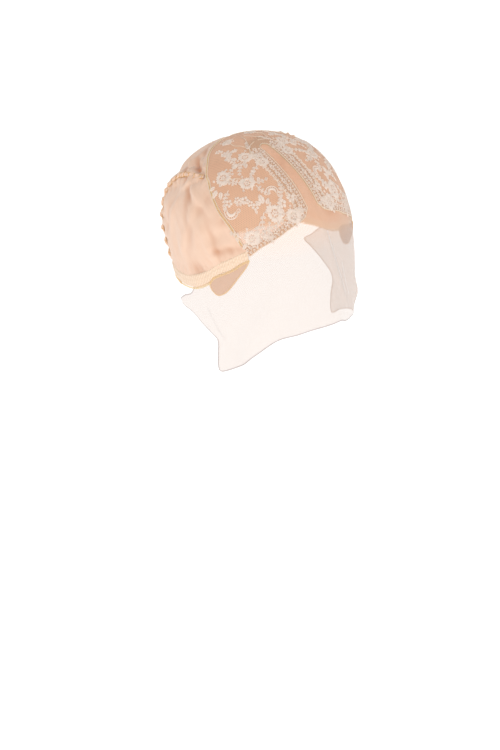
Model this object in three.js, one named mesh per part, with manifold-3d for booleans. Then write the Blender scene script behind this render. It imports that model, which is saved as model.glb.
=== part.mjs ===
// A lace-front wig cap, worn form, in millimetres.
// +Z is up, the wearer faces -Y, and the wearer's right is -X.
// The origin is the inner top of the crown, where the head meets the cap.
import * as THREE from 'three';
import { mergeVertices } from 'three/addons/utils/BufferGeometryUtils.js';
import Module from 'manifold-3d';

const wasm = await Module();
wasm.setup();

// Sizes of the head form that the cap is stretched over
const HALF_BREADTH = 79.5;
const FRONT_REACH = 92.0;
const BACK_REACH = 95.0;
const FORM_ARC = 260.0;
const FORM_DEPTH = 228.0;
const NECK_PINCH = 0.09;

// Cloth and seams
const NET_THICKNESS = 1.0;
const CLOTH_THICKNESS = 1.0;
const TAPE_THICKNESS = 1.0;
const FLORAL_THICKNESS = 1.0;
const BAND_THICKNESS = 1.4;
const TAB_THICKNESS = 1.0;
const LAYER_GAP = 0.5;
const SEAM_GAP = 0.3;
const SEAM_LAP = 3.0;

// Parting strip
const PARTING_START = 8.0;
const PARTING_HALF_REAR = 4.0;
const PARTING_HALF_FRONT = 6.0;

// Lace, gathers and folds
const LACE_REPEAT = 26.0;
const EYELET_WIDTH = 3.2;
const EYELET_PITCH = 8.0;
const EYELET_INSET = 5.4;
const FRONT_EYELET_INSET = 4.3;
const GATHER_PITCH = 10.0;
const GATHER_WIDTH = 3.4;
const GATHER_HEIGHT = 2.6;
const FOLD_LENGTH = 30.0;
const FOLD_RISE = 4.0;
const FOLD_FADE = 5.0;
const NOSE_RISE = 9.0;

// Fineness of the facets
const CLOTH_CELL = 9.8;
const LACE_CELL = 9.0;
const VEIL_CELL = 13.5;
const OUTLINE_STEP = 7.0;
const GAP_SIDES = 8;
const EYELET_SIDES = 6;
const SCALLOP_STEPS = 5;
const SAME_POINT = 0.0001;

// Rings of the head form, evenly spaced along FORM_ARC from the crown down. Each length is a share
// of its named size.
const RINGS = [
  { drop: 0.0, breadth: 0.0, front: 0.0, back: 0.0, pinch: 0 },
  { drop: 0.013, breadth: 0.246, front: 0.206, back: 0.204, pinch: 0 },
  { drop: 0.044, breadth: 0.488, front: 0.405, back: 0.411, pinch: 0 },
  { drop: 0.091, breadth: 0.71, front: 0.604, back: 0.614, pinch: 0 },
  { drop: 0.163, breadth: 0.884, front: 0.774, back: 0.804, pinch: 0 },
  { drop: 0.257, breadth: 0.979, front: 0.894, back: 0.94, pinch: 0 },
  { drop: 0.361, breadth: 1.0, front: 0.957, back: 1.015, pinch: 0.1 },
  { drop: 0.468, breadth: 0.994, front: 0.981, back: 0.965, pinch: 0.35 },
  { drop: 0.56, breadth: 0.973, front: 0.993, back: 0.87, pinch: 0.3 },
  { drop: 0.649, breadth: 0.946, front: 1.0, back: 0.74, pinch: 0.9 },
  { drop: 0.737, breadth: 0.907, front: 1.0, back: 0.69, pinch: 1 },
  { drop: 0.825, breadth: 0.883, front: 0.989, back: 0.67, pinch: 1 },
  { drop: 0.912, breadth: 0.87, front: 0.969, back: 0.67, pinch: 1 },
  { drop: 1.0, breadth: 0.87, front: 0.939, back: 0.67, pinch: 1 },
];

// Lines on the form. angle is in degrees round from the middle of the forehead, and down is the
// distance from the crown as a share of FORM_ARC. All are the wearer's left and are mirrored.
const LACE_SEAM = [
  { angle: 180, down: 0.144 },
  { angle: 160, down: 0.146 },
  { angle: 138, down: 0.153 },
  { angle: 116.5, down: 0.168 },
  { angle: 104, down: 0.187 },
  { angle: 95.6, down: 0.207 },
  { angle: 90, down: 0.216 },
  { angle: 82, down: 0.241 },
  { angle: 74.7, down: 0.268 },
  { angle: 69, down: 0.292 },
  { angle: 63.2, down: 0.314 },
  { angle: 59, down: 0.333 },
  { angle: 55.5, down: 0.355 },
  { angle: 52.4, down: 0.38 },
  { angle: 50.4, down: 0.398 },
  { angle: 49.2, down: 0.411 },
];
// The gathered seam joins this seam at its sixth row, and its last two rows aren't lapped
const GATHER_JOIN = 5;
const LAP_ROWS = LACE_SEAM.length - 2;
const GATHER_SEAM = [
  { angle: 95.6, down: 0.207 },
  { angle: 103.9, down: 0.222 },
  { angle: 116.9, down: 0.244 },
  { angle: 127.5, down: 0.275 },
  { angle: 133, down: 0.312 },
  { angle: 136.5, down: 0.358 },
  { angle: 137, down: 0.4 },
  { angle: 134.5, down: 0.435 },
  { angle: 130, down: 0.475 },
  { angle: 126.5, down: 0.52 },
  { angle: 124, down: 0.57 },
];
const PANEL_FRONT = [
  { angle: 8.8, down: 0.326 },
  { angle: 13.4, down: 0.335 },
  { angle: 22, down: 0.347 },
  { angle: 29.4, down: 0.363 },
  { angle: 36.2, down: 0.377 },
  { angle: 42.6, down: 0.392 },
  { angle: 49.3, down: 0.416 },
];
const TAPE_INSIDE = [
  { angle: 180, down: 0.02 },
  { angle: 130, down: 0.036 },
  { angle: 80, down: 0.056 },
  { angle: 45, down: 0.083 },
  { angle: 29.8, down: 0.118 },
  { angle: 21.6, down: 0.164 },
  { angle: 17.4, down: 0.218 },
  { angle: 15.2, down: 0.26 },
  { angle: 15.5, down: 0.291 },
  { angle: 18.5, down: 0.314 },
  { angle: 28.1, down: 0.335 },
  { angle: 35.3, down: 0.351 },
  { angle: 42, down: 0.366 },
  { angle: 51.4, down: 0.388 },
];
const BAND_TOP = [
  { angle: 50.4, down: 0.398 },
  { angle: 56.6, down: 0.4115 },
  { angle: 63.4, down: 0.4315 },
  { angle: 69.8, down: 0.45 },
  { angle: 76.7, down: 0.478 },
  { angle: 86.7, down: 0.5095 },
  { angle: 98, down: 0.533 },
  { angle: 110, down: 0.547 },
  { angle: 127, down: 0.566 },
  { angle: 150, down: 0.592 },
  { angle: 180, down: 0.61 },
];
const BAND_BOTTOM = [
  { angle: 49.9, down: 0.4245 },
  { angle: 55, down: 0.438 },
  { angle: 60, down: 0.4565 },
  { angle: 64.2, down: 0.469 },
  { angle: 70.6, down: 0.4872 },
  { angle: 74.3, down: 0.501 },
  { angle: 77, down: 0.519 },
  { angle: 84.7, down: 0.5483 },
  { angle: 91.6, down: 0.5665 },
  { angle: 101, down: 0.58 },
  { angle: 110, down: 0.589 },
  { angle: 127, down: 0.607 },
  { angle: 150, down: 0.63 },
  { angle: 180, down: 0.648 },
];
const EAR_TAB = [
  { angle: 77, down: 0.519 },
  { angle: 76.5, down: 0.5377 },
  { angle: 73.8, down: 0.5537 },
  { angle: 70.9, down: 0.5557 },
  { angle: 66.4, down: 0.5398 },
  { angle: 61.9, down: 0.5132 },
  { angle: 57.5, down: 0.4837 },
  { angle: 53.1, down: 0.4561 },
  { angle: 50.3, down: 0.435 },
  { angle: 49.9, down: 0.4245 },
];
// The veil's free edge, from behind the wearer's right ear round to behind the left one
const VEIL_EDGE = [
  { angle: -88, down: 0.535 },
  { angle: -94.1, down: 0.595 },
  { angle: -101.5, down: 0.621 },
  { angle: -108, down: 0.659 },
  { angle: -97, down: 0.681 },
  { angle: -91, down: 0.702 },
  { angle: -80.1, down: 0.747 },
  { angle: -78.8, down: 0.767 },
  { angle: -80.3, down: 0.8235 },
  { angle: -81.3, down: 0.8815 },
  { angle: -78.3, down: 0.897 },
  { angle: -63.7, down: 0.841 },
  { angle: -54, down: 0.783 },
  { angle: -38.9, down: 0.712 },
  { angle: -24.4, down: 0.693 },
  { angle: -12.1, down: 0.68 },
  { angle: -3.1, down: 0.669 },
  { angle: 2.4, down: 0.67 },
  { angle: 8, down: 0.69 },
  { angle: 14.9, down: 0.709 },
  { angle: 24.8, down: 0.726 },
  { angle: 37, down: 0.755 },
  { angle: 52, down: 0.79 },
  { angle: 66, down: 0.835 },
  { angle: 78.3, down: 0.89 },
  { angle: 80.3, down: 0.8235 },
  { angle: 80.1, down: 0.747 },
  { angle: 91, down: 0.702 },
  { angle: 108, down: 0.659 },
  { angle: 101.5, down: 0.621 },
  { angle: 88, down: 0.535 },
];

// Open ground between the lace motifs, long and wide as shares of LACE_REPEAT
const LACE_GAPS = [
  { angle: 152, down: 0.1, long: 0.46, wide: 0.3, turn: 10 },
  { angle: 116, down: 0.088, long: 0.44, wide: 0.28, turn: -25 },
  { angle: 104, down: 0.13, long: 0.52, wide: 0.32, turn: -30 },
  { angle: 74, down: 0.116, long: 0.36, wide: 0.28, turn: 0 },
  { angle: 79, down: 0.182, long: 0.4, wide: 0.3, turn: 20 },
  { angle: 49, down: 0.15, long: 0.5, wide: 0.34, turn: 55 },
  { angle: 58, down: 0.2, long: 0.4, wide: 0.3, turn: -30 },
  { angle: 31, down: 0.186, long: 0.62, wide: 0.36, turn: 80 },
  { angle: 46, down: 0.232, long: 0.62, wide: 0.34, turn: 10 },
  { angle: 64, down: 0.25, long: 0.44, wide: 0.3, turn: 70 },
  { angle: 29, down: 0.248, long: 0.34, wide: 0.28, turn: 0 },
  { angle: 26, down: 0.286, long: 0.4, wide: 0.28, turn: 0 },
  { angle: 40, down: 0.274, long: 0.34, wide: 0.26, turn: 30 },
  { angle: 50, down: 0.302, long: 0.56, wide: 0.42, turn: 60 },
  { angle: 36, down: 0.312, long: 0.36, wide: 0.26, turn: 20 },
  { angle: 48, down: 0.35, long: 0.36, wide: 0.22, turn: 40 },
];

// Folds, dents and creases. long and wide are shares of FOLD_LENGTH, rise of FOLD_RISE.
const FOLDS = [
  { angle: 106, down: 0.2, turn: -75, long: 0.32, wide: 0.17, rise: -1.0 },
  { angle: 118, down: 0.206, turn: -70, long: 0.4, wide: 0.2, rise: -1.3 },
  { angle: 112, down: 0.204, turn: -72, long: 0.3, wide: 0.12, rise: 0.6 },
  { angle: 134, down: 0.226, turn: -60, long: 0.5, wide: 0.22, rise: -1.2 },
  { angle: 148, down: 0.265, turn: -50, long: 0.6, wide: 0.22, rise: -0.8 },
  { angle: 153, down: 0.33, turn: 10, long: 0.7, wide: 0.2, rise: -0.7 },
  { angle: 156, down: 0.375, turn: 5, long: 0.7, wide: 0.2, rise: 0.5 },
  { angle: 152, down: 0.43, turn: -5, long: 0.7, wide: 0.22, rise: -0.7 },
  { angle: 148, down: 0.5, turn: -10, long: 0.6, wide: 0.22, rise: -0.6 },
  { angle: 178, down: 0.5, turn: 90, long: 0.9, wide: 0.3, rise: 0.5 },
  { angle: 122, down: 0.31, turn: 12, long: 0.6, wide: 0.18, rise: -0.5 },
  { angle: 124, down: 0.37, turn: 5, long: 0.7, wide: 0.18, rise: 0.4 },
  { angle: 122, down: 0.43, turn: -8, long: 0.6, wide: 0.18, rise: -0.45 },
  { angle: 95, down: 0.34, turn: -50, long: 1.0, wide: 0.22, rise: 0.45 },
  { angle: 80, down: 0.38, turn: -48, long: 0.9, wide: 0.2, rise: 0.4 },
  { angle: 68, down: 0.365, turn: 25, long: 0.5, wide: 0.18, rise: -0.5 },
  { angle: 105, down: 0.44, turn: -65, long: 0.8, wide: 0.22, rise: -0.4 },
];
// The veil's own creases, which are not mirrored
const VEIL_FOLDS = [
  { angle: 5, down: 0.5, turn: 82, long: 1.0, wide: 0.1, rise: 0.55 },
  { angle: 11, down: 0.6, turn: 70, long: 0.9, wide: 0.1, rise: 0.6 },
  { angle: 40, down: 0.66, turn: 60, long: 0.9, wide: 0.22, rise: 0.7 },
  { angle: -46, down: 0.64, turn: -65, long: 1.3, wide: 0.3, rise: 0.6 },
  { angle: -66, down: 0.74, turn: -80, long: 1.1, wide: 0.26, rise: -0.8 },
  { angle: -107, down: 0.66, turn: -60, long: 0.5, wide: 0.4, rise: 1.2 },
  { angle: 107, down: 0.66, turn: 60, long: 0.5, wide: 0.4, rise: 1.2 },
  { angle: 66, down: 0.76, turn: 80, long: 1.1, wide: 0.26, rise: -0.8 },
];
// A scallop's section as shares of GATHER_WIDTH and GATHER_HEIGHT
const SCALLOP_SECTION = [
  { across: -0.5, up: 0 },
  { across: 0.5, up: 0 },
  { across: 0.42, up: 0.7 },
  { across: 0, up: 1 },
  { across: -0.42, up: 0.7 },
];
const SCALLOP_LOW = 0.1;
const SCALLOP_END = 0.4;
const SCALLOP_SWING = 0.22;
// The net stands out over the bridge and tip of the nose
const NOSE = { angle: 0, top: 0.45, tip: 0.68, halfAngle: 11 };

// The cap sits lower over the wearer's left temple. Each pair is where that starts and where it is
// full or over: across as shares of HALF_BREADTH, forward of FRONT_REACH, below of FORM_DEPTH.
const LEFT_DROP = 12.0;
const DROP_ACROSS = [-0.075, 0.7];
const DROP_FORWARD = [-0.43, 0.43];
const DROP_STARTS = [0.02, 0.31];
const DROP_ENDS = [0.44, 0.75];

// Lines nearer the crown than this share of FORM_ARC are smoothed as seen from above
const NEAR_CROWN = 0.1;
// The middle lines in front of and behind the crown meet this close to it, as a share of FORM_ARC
const CROWN_TIP = 0.001;
// The angles that the lace panels and the side pieces are laid flat about
const LACE_CENTRE = 55;
const SIDE_CENTRE = 90;
const UPPER = Math.max(NET_THICKNESS, CLOTH_THICKNESS, TAPE_THICKNESS) + LAYER_GAP;
const smoothstep = THREE.MathUtils.smoothstep;
const radians = THREE.MathUtils.degToRad;
const degrees = THREE.MathUtils.radToDeg;

// Cubic spline through evenly spaced values, natural at both ends
function evenSpline(values, step) {
  const count = values.length;
  const bend = new Array(count).fill(0);
  const ratio = new Array(count).fill(0);
  for (let i = 1; i < count - 1; i++) {
    const load = 6 * (values[i + 1] - 2 * values[i] + values[i - 1]) / (step * step);
    const pivot = 4 + ratio[i - 1];
    ratio[i] = -1 / pivot;
    bend[i] = (load - bend[i - 1]) / pivot;
  }
  for (let i = count - 2; i > 0; i--) bend[i] += ratio[i] * bend[i + 1];
  return (place) => {
    const t = place / step;
    const i = Math.min(Math.max(Math.floor(t), 0), count - 2);
    const b = t - i;
    const a = 1 - b;
    const curve = (a * a * a - a) * bend[i] + (b * b * b - b) * bend[i + 1];
    return a * values[i] + b * values[i + 1] + curve * step * step / 6;
  };
}

// One column of RINGS as a function of the distance from the crown, mirrored through the crown
function ringColumn(name, size, sign) {
  const side = RINGS.slice(1).map((ring) => ring[name] * size);
  const values = [...side.map((value) => sign * value).reverse(), 0, ...side];
  const step = FORM_ARC / (RINGS.length - 1);
  const spline = evenSpline(values, step);
  return (arc) => spline(arc + FORM_ARC);
}
const dropAt = ringColumn('drop', FORM_DEPTH, 1);
const breadthAt = ringColumn('breadth', HALF_BREADTH, -1);
const frontAt = ringColumn('front', FRONT_REACH, -1);
const backAt = ringColumn('back', BACK_REACH, -1);
const pinchAt = ringColumn('pinch', NECK_PINCH, 1);

// Point of the bare head form at an angle in radians and a distance from the crown
function formPoint(angle, arc) {
  const forward = Math.cos(angle);
  const pinched = forward < 0 ? 1 - pinchAt(arc) * Math.sin(2 * angle) ** 2 : 1;
  const x = breadthAt(arc) * Math.sin(angle) * pinched;
  const y = (forward > 0 ? -frontAt(arc) : -backAt(arc)) * forward * pinched;
  return new THREE.Vector3(x, y, -dropAt(arc));
}

function formPlace(row) {
  return formPoint(radians(row.angle), row.down * FORM_ARC);
}

function formNormal(angle, arc) {
  const near = 0.4;
  const turn = near / Math.max(ringRadius(arc), 1);
  const across = formPoint(angle + turn, arc).sub(formPoint(angle - turn, arc));
  const along = formPoint(angle, arc + near).sub(formPoint(angle, arc - near));
  return along.cross(across).normalize();
}

function ringRadius(arc) {
  const depth = (frontAt(arc) + backAt(arc)) / 2;
  return Math.sqrt((breadthAt(arc) ** 2 + depth ** 2) / 2);
}

function wrap(angle) {
  return ((angle + 540) % 360 + 360) % 360 - 180;
}

// Height of one fold at a place on the form
function foldHeight(fold, angle, arc, side) {
  const ring = ringRadius(arc);
  const across = radians(wrap(angle - side * fold.angle)) * ring;
  const along = arc - fold.down * FORM_ARC;
  const turn = radians(side * fold.turn);
  const u = (across * Math.cos(turn) + along * Math.sin(turn)) / (fold.long * FOLD_LENGTH);
  const v = (along * Math.cos(turn) - across * Math.sin(turn)) / (fold.wide * FOLD_LENGTH);
  return fold.rise * FOLD_RISE * Math.exp(-u * u - v * v);
}

function noseHeight(angle, arc) {
  const down = arc / FORM_ARC;
  const along = smoothstep(down, NOSE.top, NOSE.tip);
  const across = wrap(angle - NOSE.angle) / NOSE.halfAngle;
  return NOSE_RISE * along * Math.exp(-across * across);
}

// Folds die out towards the seams, where the cloth is held flat
function seamFade(angle, arc) {
  const place = formPoint(radians(Math.abs(wrap(angle))), arc);
  let fade = 1;
  for (const seam of HELD_SEAMS) {
    const distance = Math.min(...seam.points.map((point) => point.distanceTo(place)));
    fade = Math.min(fade, smoothstep(distance, seam.reach, seam.reach + FOLD_FADE));
  }
  return fade;
}

// Height of the cloth over the bare form, in degrees and millimetres from the crown
function relief(angle, arc) {
  let height = 0;
  for (const fold of FOLDS) {
    height += foldHeight(fold, angle, arc, 1) + foldHeight(fold, angle, arc, -1);
  }
  for (const fold of VEIL_FOLDS) height += foldHeight(fold, angle, arc, 1);
  return noseHeight(angle, arc) + height * seamFade(angle, arc);
}

// The cloth is laid out flat: across is the distance round the ring, up is against the arc
function flatPoint(place, centre) {
  const arc = place.down * FORM_ARC;
  const across = ringRadius(arc) * radians(wrap(place.angle - centre));
  return new THREE.Vector2(across, -arc);
}

function wornPoint(across, up, centre, offset) {
  const arc = -up;
  const angle = radians(centre) + across / ringRadius(arc);
  const height = offset + relief(degrees(angle), arc);
  return settled(formPoint(angle, arc).addScaledVector(formNormal(angle, arc), height));
}

// A worn point with the drop over the left temple
function settled(point) {
  const across = smoothstep(point.x / HALF_BREADTH, ...DROP_ACROSS);
  const forward = smoothstep(-point.y / FRONT_REACH, ...DROP_FORWARD);
  const depth = -point.z / FORM_DEPTH;
  const below = smoothstep(depth, ...DROP_STARTS) * (1 - smoothstep(depth, ...DROP_ENDS));
  point.z -= LEFT_DROP * across * forward * below;
  return point;
}

function mirrored(rows) {
  return rows.map((row) => ({ ...row, angle: -row.angle }));
}

function onSide(rows, side) {
  return side > 0 ? rows : mirrored(rows);
}

// More rows along a line, on a smooth curve through the given ones. Neighbours share these places.
// A line that comes near the crown is smoothed as seen from above.
function smoothRows(rows, step) {
  const fromAbove = rows.some((row) => row.down < NEAR_CROWN);
  const plan = (row) => {
    const angle = radians(row.angle);
    if (!fromAbove) return new THREE.Vector2(row.angle, row.down);
    return new THREE.Vector2(row.down * Math.sin(angle), row.down * Math.cos(angle));
  };
  const rowAt = (point) => {
    if (!fromAbove) return { angle: point.x, down: point.y };
    return { angle: degrees(Math.atan2(point.x, point.y)), down: point.length() };
  };
  const curve = new THREE.SplineCurve(rows.map(plan));
  const smooth = [rows[0]];
  for (let i = 1; i < rows.length; i++) {
    const length = formPlace(rows[i]).distanceTo(formPlace(rows[i - 1]));
    const count = Math.max(Math.round(length / step), 1);
    for (let j = 1; j <= count; j++) {
      smooth.push(rowAt(curve.getPoint((i - 1 + j / count) / (rows.length - 1))));
    }
  }
  return smooth;
}

function flatLine(rows, centre, step = OUTLINE_STEP) {
  return smoothRows(rows, step).map((row) => flatPoint(row, centre));
}

// Rows down the middle of the back, from one distance from the crown to another
function middleRows(from, to) {
  const count = Math.max(Math.round((to - from) * FORM_ARC / OUTLINE_STEP), 1);
  const rows = [];
  for (let i = 0; i <= count; i++) rows.push({ angle: 180, down: from + (to - from) * i / count });
  return rows;
}

// A closed flat outline from its lines in order, without repeated corners
function closedOutline(lines) {
  const outline = [];
  for (const point of lines.flat()) {
    const last = outline[outline.length - 1];
    if (!last || last.distanceTo(point) > SEAM_GAP) outline.push(point);
  }
  if (outline[0].distanceTo(outline[outline.length - 1]) < SEAM_GAP) outline.pop();
  return THREE.ShapeUtils.isClockWise(outline) ? outline.reverse() : outline;
}

// An outline drawn in by half a seam gap
function drawnIn(outline, distance = SEAM_GAP / 2) {
  const count = outline.length;
  return outline.map((point, i) => {
    const before = outline[(i + count - 1) % count];
    const after = outline[(i + 1) % count];
    const first = point.clone().sub(before).normalize();
    const second = after.clone().sub(point).normalize();
    const inward = new THREE.Vector2(-first.y - second.y, first.x + second.x).normalize();
    const spread = Math.max(inward.dot(new THREE.Vector2(-first.y, first.x)), 0.5);
    return point.clone().addScaledVector(inward, distance / spread);
  });
}

// A line moved sideways by a distance, to its left when positive
function shiftedLine(line, distance) {
  return line.map((point, i) => {
    const before = line[Math.max(i - 1, 0)];
    const after = line[Math.min(i + 1, line.length - 1)];
    const along = after.clone().sub(before).normalize();
    return new THREE.Vector2(point.x - along.y * distance, point.y + along.x * distance);
  });
}

// Points evenly spaced along a line, about a pitch apart
function spacedPoints(line, pitch) {
  const curve = new THREE.SplineCurve(line);
  return curve.getSpacedPoints(Math.round(curve.getLength() / pitch));
}

function mirroredLine(line) {
  return line.map((point) => new THREE.Vector2(-point.x, point.y)).reverse();
}

function toManifold(geometry) {
  geometry.deleteAttribute('normal');
  geometry.deleteAttribute('uv');
  const merged = mergeVertices(geometry, SAME_POINT);
  return new wasm.Manifold(new wasm.Mesh({
    numProp: 3,
    vertProperties: new Float32Array(merged.attributes.position.array),
    triVerts: new Uint32Array(merged.index.array),
  }));
}

function prismOf(outline, reach) {
  const settings = { depth: 2 * reach, bevelEnabled: false, steps: 1 };
  const prism = new THREE.ExtrudeGeometry(new THREE.Shape(outline), settings);
  return prism.translate(0, 0, -reach);
}

// A sheet of cloth: a gridded flat slab cut to an outline with holes, then laid on the form.
// The slab is dished so that its grid points aren't lost where facets are level.
function clothSheet(outline, gaps, centre, cell, offset, thickness) {
  const slabHeight = 8;
  const dish = 0.004;
  const box = new THREE.Box2().setFromPoints(outline).expandByScalar(cell / 2);
  const size = box.getSize(new THREE.Vector2());
  const middle = box.getCenter(new THREE.Vector2());
  const dished = (x, y) => dish * ((x - middle.x) ** 2 + (y - middle.y) ** 2);
  const columns = Math.ceil(size.x / cell);
  const rows = Math.ceil(size.y / cell);
  const slab = new THREE.BoxGeometry(size.x, size.y, slabHeight, columns, rows, 1);
  slab.translate(middle.x, middle.y, 0);
  const grid = slab.attributes.position;
  for (let i = 0; i < grid.count; i++) {
    grid.setZ(i, grid.getZ(i) + dished(grid.getX(i), grid.getY(i)));
  }
  const reach = dished(box.max.x, box.max.y) + 2 * slabHeight;
  let sheet = toManifold(slab).intersect(toManifold(prismOf(outline, reach)));
  for (const gap of gaps) sheet = sheet.subtract(toManifold(prismOf(gap, reach)));
  const cut = sheet.getMesh();
  const positions = new Float32Array(cut.vertProperties.length);
  for (let i = 0; i < positions.length; i += 3) {
    const [x, y, z] = cut.vertProperties.slice(i, i + 3);
    const outside = z > dished(x, y);
    wornPoint(x, y, centre, outside ? offset + thickness : offset).toArray(positions, i);
  }
  const geometry = new THREE.BufferGeometry();
  geometry.setAttribute('position', new THREE.BufferAttribute(positions, 3));
  geometry.setIndex(Array.from(cut.triVerts));
  return geometry;
}

function fabric(color, roughness = 0.85) {
  return new THREE.MeshStandardMaterial({ color, roughness, metalness: 0 });
}

function addMesh(parent, name, geometry, material) {
  geometry.computeVertexNormals();
  const mesh = new THREE.Mesh(geometry, material);
  mesh.name = name;
  parent.add(mesh);
}

// Half width of the parting strip at a distance from the crown
function partingHalf(arc) {
  const end = PANEL_FRONT[0].down * FORM_ARC;
  const t = THREE.MathUtils.clamp((arc - PARTING_START) / (end - PARTING_START), 0, 1);
  return THREE.MathUtils.lerp(PARTING_HALF_REAR, PARTING_HALF_FRONT, t);
}

// Rows round one side of the parting strip's rear end
function partingRound() {
  const rows = [];
  const roundSteps = 5;
  for (let i = 0; i <= roundSteps; i++) {
    const turn = Math.PI / 2 * i / roundSteps;
    const x = PARTING_HALF_REAR * Math.sin(turn);
    const y = PARTING_START + PARTING_HALF_REAR * (1 - Math.cos(turn));
    rows.push({ angle: degrees(Math.atan2(x, y)), down: Math.hypot(x, y) / FORM_ARC });
  }
  return rows;
}

// Rows down one side of the parting strip, from its rear end to near the panel's front corner
function partingStraight() {
  const cornerRound = 0.02;
  const start = PARTING_START + PARTING_HALF_REAR;
  const end = (PANEL_FRONT[0].down - cornerRound) * FORM_ARC;
  const steps = Math.round((end - start) / OUTLINE_STEP);
  const rows = [];
  for (let i = 1; i <= steps; i++) {
    const arc = THREE.MathUtils.lerp(start, end, i / steps);
    rows.push({ angle: degrees(Math.asin(partingHalf(arc) / breadthAt(arc))), down: arc / FORM_ARC });
  }
  return rows;
}

function partingSide() {
  return [...partingRound(), ...partingStraight()];
}

// Flat points up the middle of the back and over the crown to the parting strip's rear end
function crownLine(down, centre) {
  const rows = [...middleRows(CROWN_TIP, down).reverse(), { angle: 0, down: PARTING_START / 2 / FORM_ARC }];
  return rows.map((row) => flatPoint(row, centre));
}

// Distance from the crown of a line at an angle between its rows
function downAt(rows, angle) {
  const next = Math.max(rows.findIndex((row) => row.angle >= angle), 1);
  const [before, after] = [rows[next - 1], rows[next]];
  return THREE.MathUtils.mapLinear(angle, before.angle, after.angle, before.down, after.down);
}

// Middle line of the hem band, where the panels above it and the veil below it meet
function bandMiddle(angle) {
  return { angle, down: (downAt(BAND_TOP, angle) + downAt(BAND_BOTTOM, angle)) / 2 };
}

const seamPoints = (rows) => smoothRows(rows, OUTLINE_STEP / 2).map(formPlace);
const HELD_SEAMS = [
  { points: seamPoints(LACE_SEAM), reach: SEAM_LAP + 1 },
  { points: seamPoints(PANEL_FRONT), reach: SEAM_LAP },
  { points: seamPoints(GATHER_SEAM), reach: GATHER_WIDTH },
  { points: seamPoints(BAND_TOP), reach: SEAM_LAP },
  { points: seamPoints(BAND_BOTTOM), reach: SEAM_LAP },
  { points: seamPoints(EAR_TAB), reach: SEAM_LAP },
];

const SEAM_END = LACE_SEAM[LACE_SEAM.length - 1];
const FRONT_END = PANEL_FRONT[PANEL_FRONT.length - 1];
const VEIL_START = VEIL_EDGE[VEIL_EDGE.length - 1];
const GATHER_ANGLE = GATHER_SEAM[GATHER_SEAM.length - 1].angle;
const GATHER_END = bandMiddle(GATHER_ANGLE);
const GATHER_LINE = [...GATHER_SEAM.slice(0, -1), GATHER_END];
const MIDDLE = [FRONT_END, ...BAND_BOTTOM.slice(1).map((row) => bandMiddle(row.angle))];

// The sheer front: the parting strip, the brow and the veil are one sheet
function frontLace() {
  const strip = flatLine(partingSide(), 0);
  const front = flatLine(PANEL_FRONT, 0);
  const join = flatLine([...MIDDLE.filter((row) => row.angle < VEIL_START.angle), VEIL_START], 0);
  const leftSide = [...strip, ...front, ...join];
  const free = VEIL_EDGE.map((row) => flatPoint(row, 0)).reverse();
  const outline = closedOutline([leftSide, free, mirroredLine(leftSide)]);
  return clothSheet(drawnIn(outline), [], 0, VEIL_CELL, 0, NET_THICKNESS);
}

// An oval gap of true size at a place on the form, as flat points
function ovalGap(place, long, wide, turn, sides, centre) {
  const gap = [];
  for (let i = 0; i < sides; i++) {
    const t = 2 * Math.PI * i / sides;
    const edge = new THREE.Vector2(long / 2 * Math.cos(t), wide / 2 * Math.sin(t));
    edge.rotateAround(new THREE.Vector2(), turn);
    const arc = place.down * FORM_ARC + edge.y;
    const angle = place.angle + degrees(edge.x / ringRadius(arc));
    gap.push(flatPoint({ angle, down: arc / FORM_ARC }, centre));
  }
  return gap;
}

function placeOf(point, centre) {
  const arc = -point.y;
  return { angle: centre + degrees(point.x / ringRadius(arc)), down: arc / FORM_ARC };
}

function laceGaps(side, centre) {
  return onSide(LACE_GAPS, side).map((gap) => {
    const turn = radians(side * gap.turn);
    return ovalGap(gap, gap.long * LACE_REPEAT, gap.wide * LACE_REPEAT, turn, GAP_SIDES, centre);
  });
}

// A row of eyelets inside the parting edge and another inside the front edge, none in the corners
function eyelets(side, centre) {
  const inner = spacedPoints(flatLine(onSide(partingStraight(), side), centre), EYELET_PITCH);
  const front = spacedPoints(flatLine(onSide(PANEL_FRONT.slice(1), side), centre), EYELET_PITCH);
  const row = [
    ...shiftedLine(inner, side * EYELET_INSET).slice(1, -2),
    ...shiftedLine(front, side * FRONT_EYELET_INSET).slice(0, -2),
  ];
  return row.map((point) => {
    return ovalGap(placeOf(point, centre), EYELET_WIDTH, EYELET_WIDTH, 0, EYELET_SIDES, centre);
  });
}

// A pierced lace panel, lapped over the cloth panels along its outer seam
function floralPanel(side) {
  const centre = side * LACE_CENTRE;
  const crown = crownLine(LACE_SEAM[0].down, centre);
  const inner = flatLine(onSide(partingSide(), side), centre);
  const front = flatLine(onSide(PANEL_FRONT, side), centre);
  const corner = flatLine(onSide(LACE_SEAM.slice(LAP_ROWS), side), centre).reverse();
  const seam = flatLine(onSide(LACE_SEAM.slice(0, LAP_ROWS), side), centre);
  const lapped = shiftedLine(seam, side * SEAM_LAP).reverse();
  const outline = closedOutline([crown, inner, front, corner, lapped]);
  const gaps = [...laceGaps(side, centre), ...eyelets(side, centre)];
  return clothSheet(drawnIn(outline), gaps, centre, LACE_CELL, UPPER, FLORAL_THICKNESS);
}

function edgeTape(side) {
  const centre = side * LACE_CENTRE;
  const crown = crownLine(TAPE_INSIDE[0].down, centre);
  const inner = flatLine(onSide(partingSide(), side), centre);
  const front = flatLine(onSide([...PANEL_FRONT, SEAM_END], side), centre);
  const inside = flatLine(onSide(TAPE_INSIDE, side), centre).reverse();
  const outline = closedOutline([crown, inner, front, inside]);
  return clothSheet(drawnIn(outline), [], centre, CLOTH_CELL, 0, TAPE_THICKNESS);
}

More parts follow.
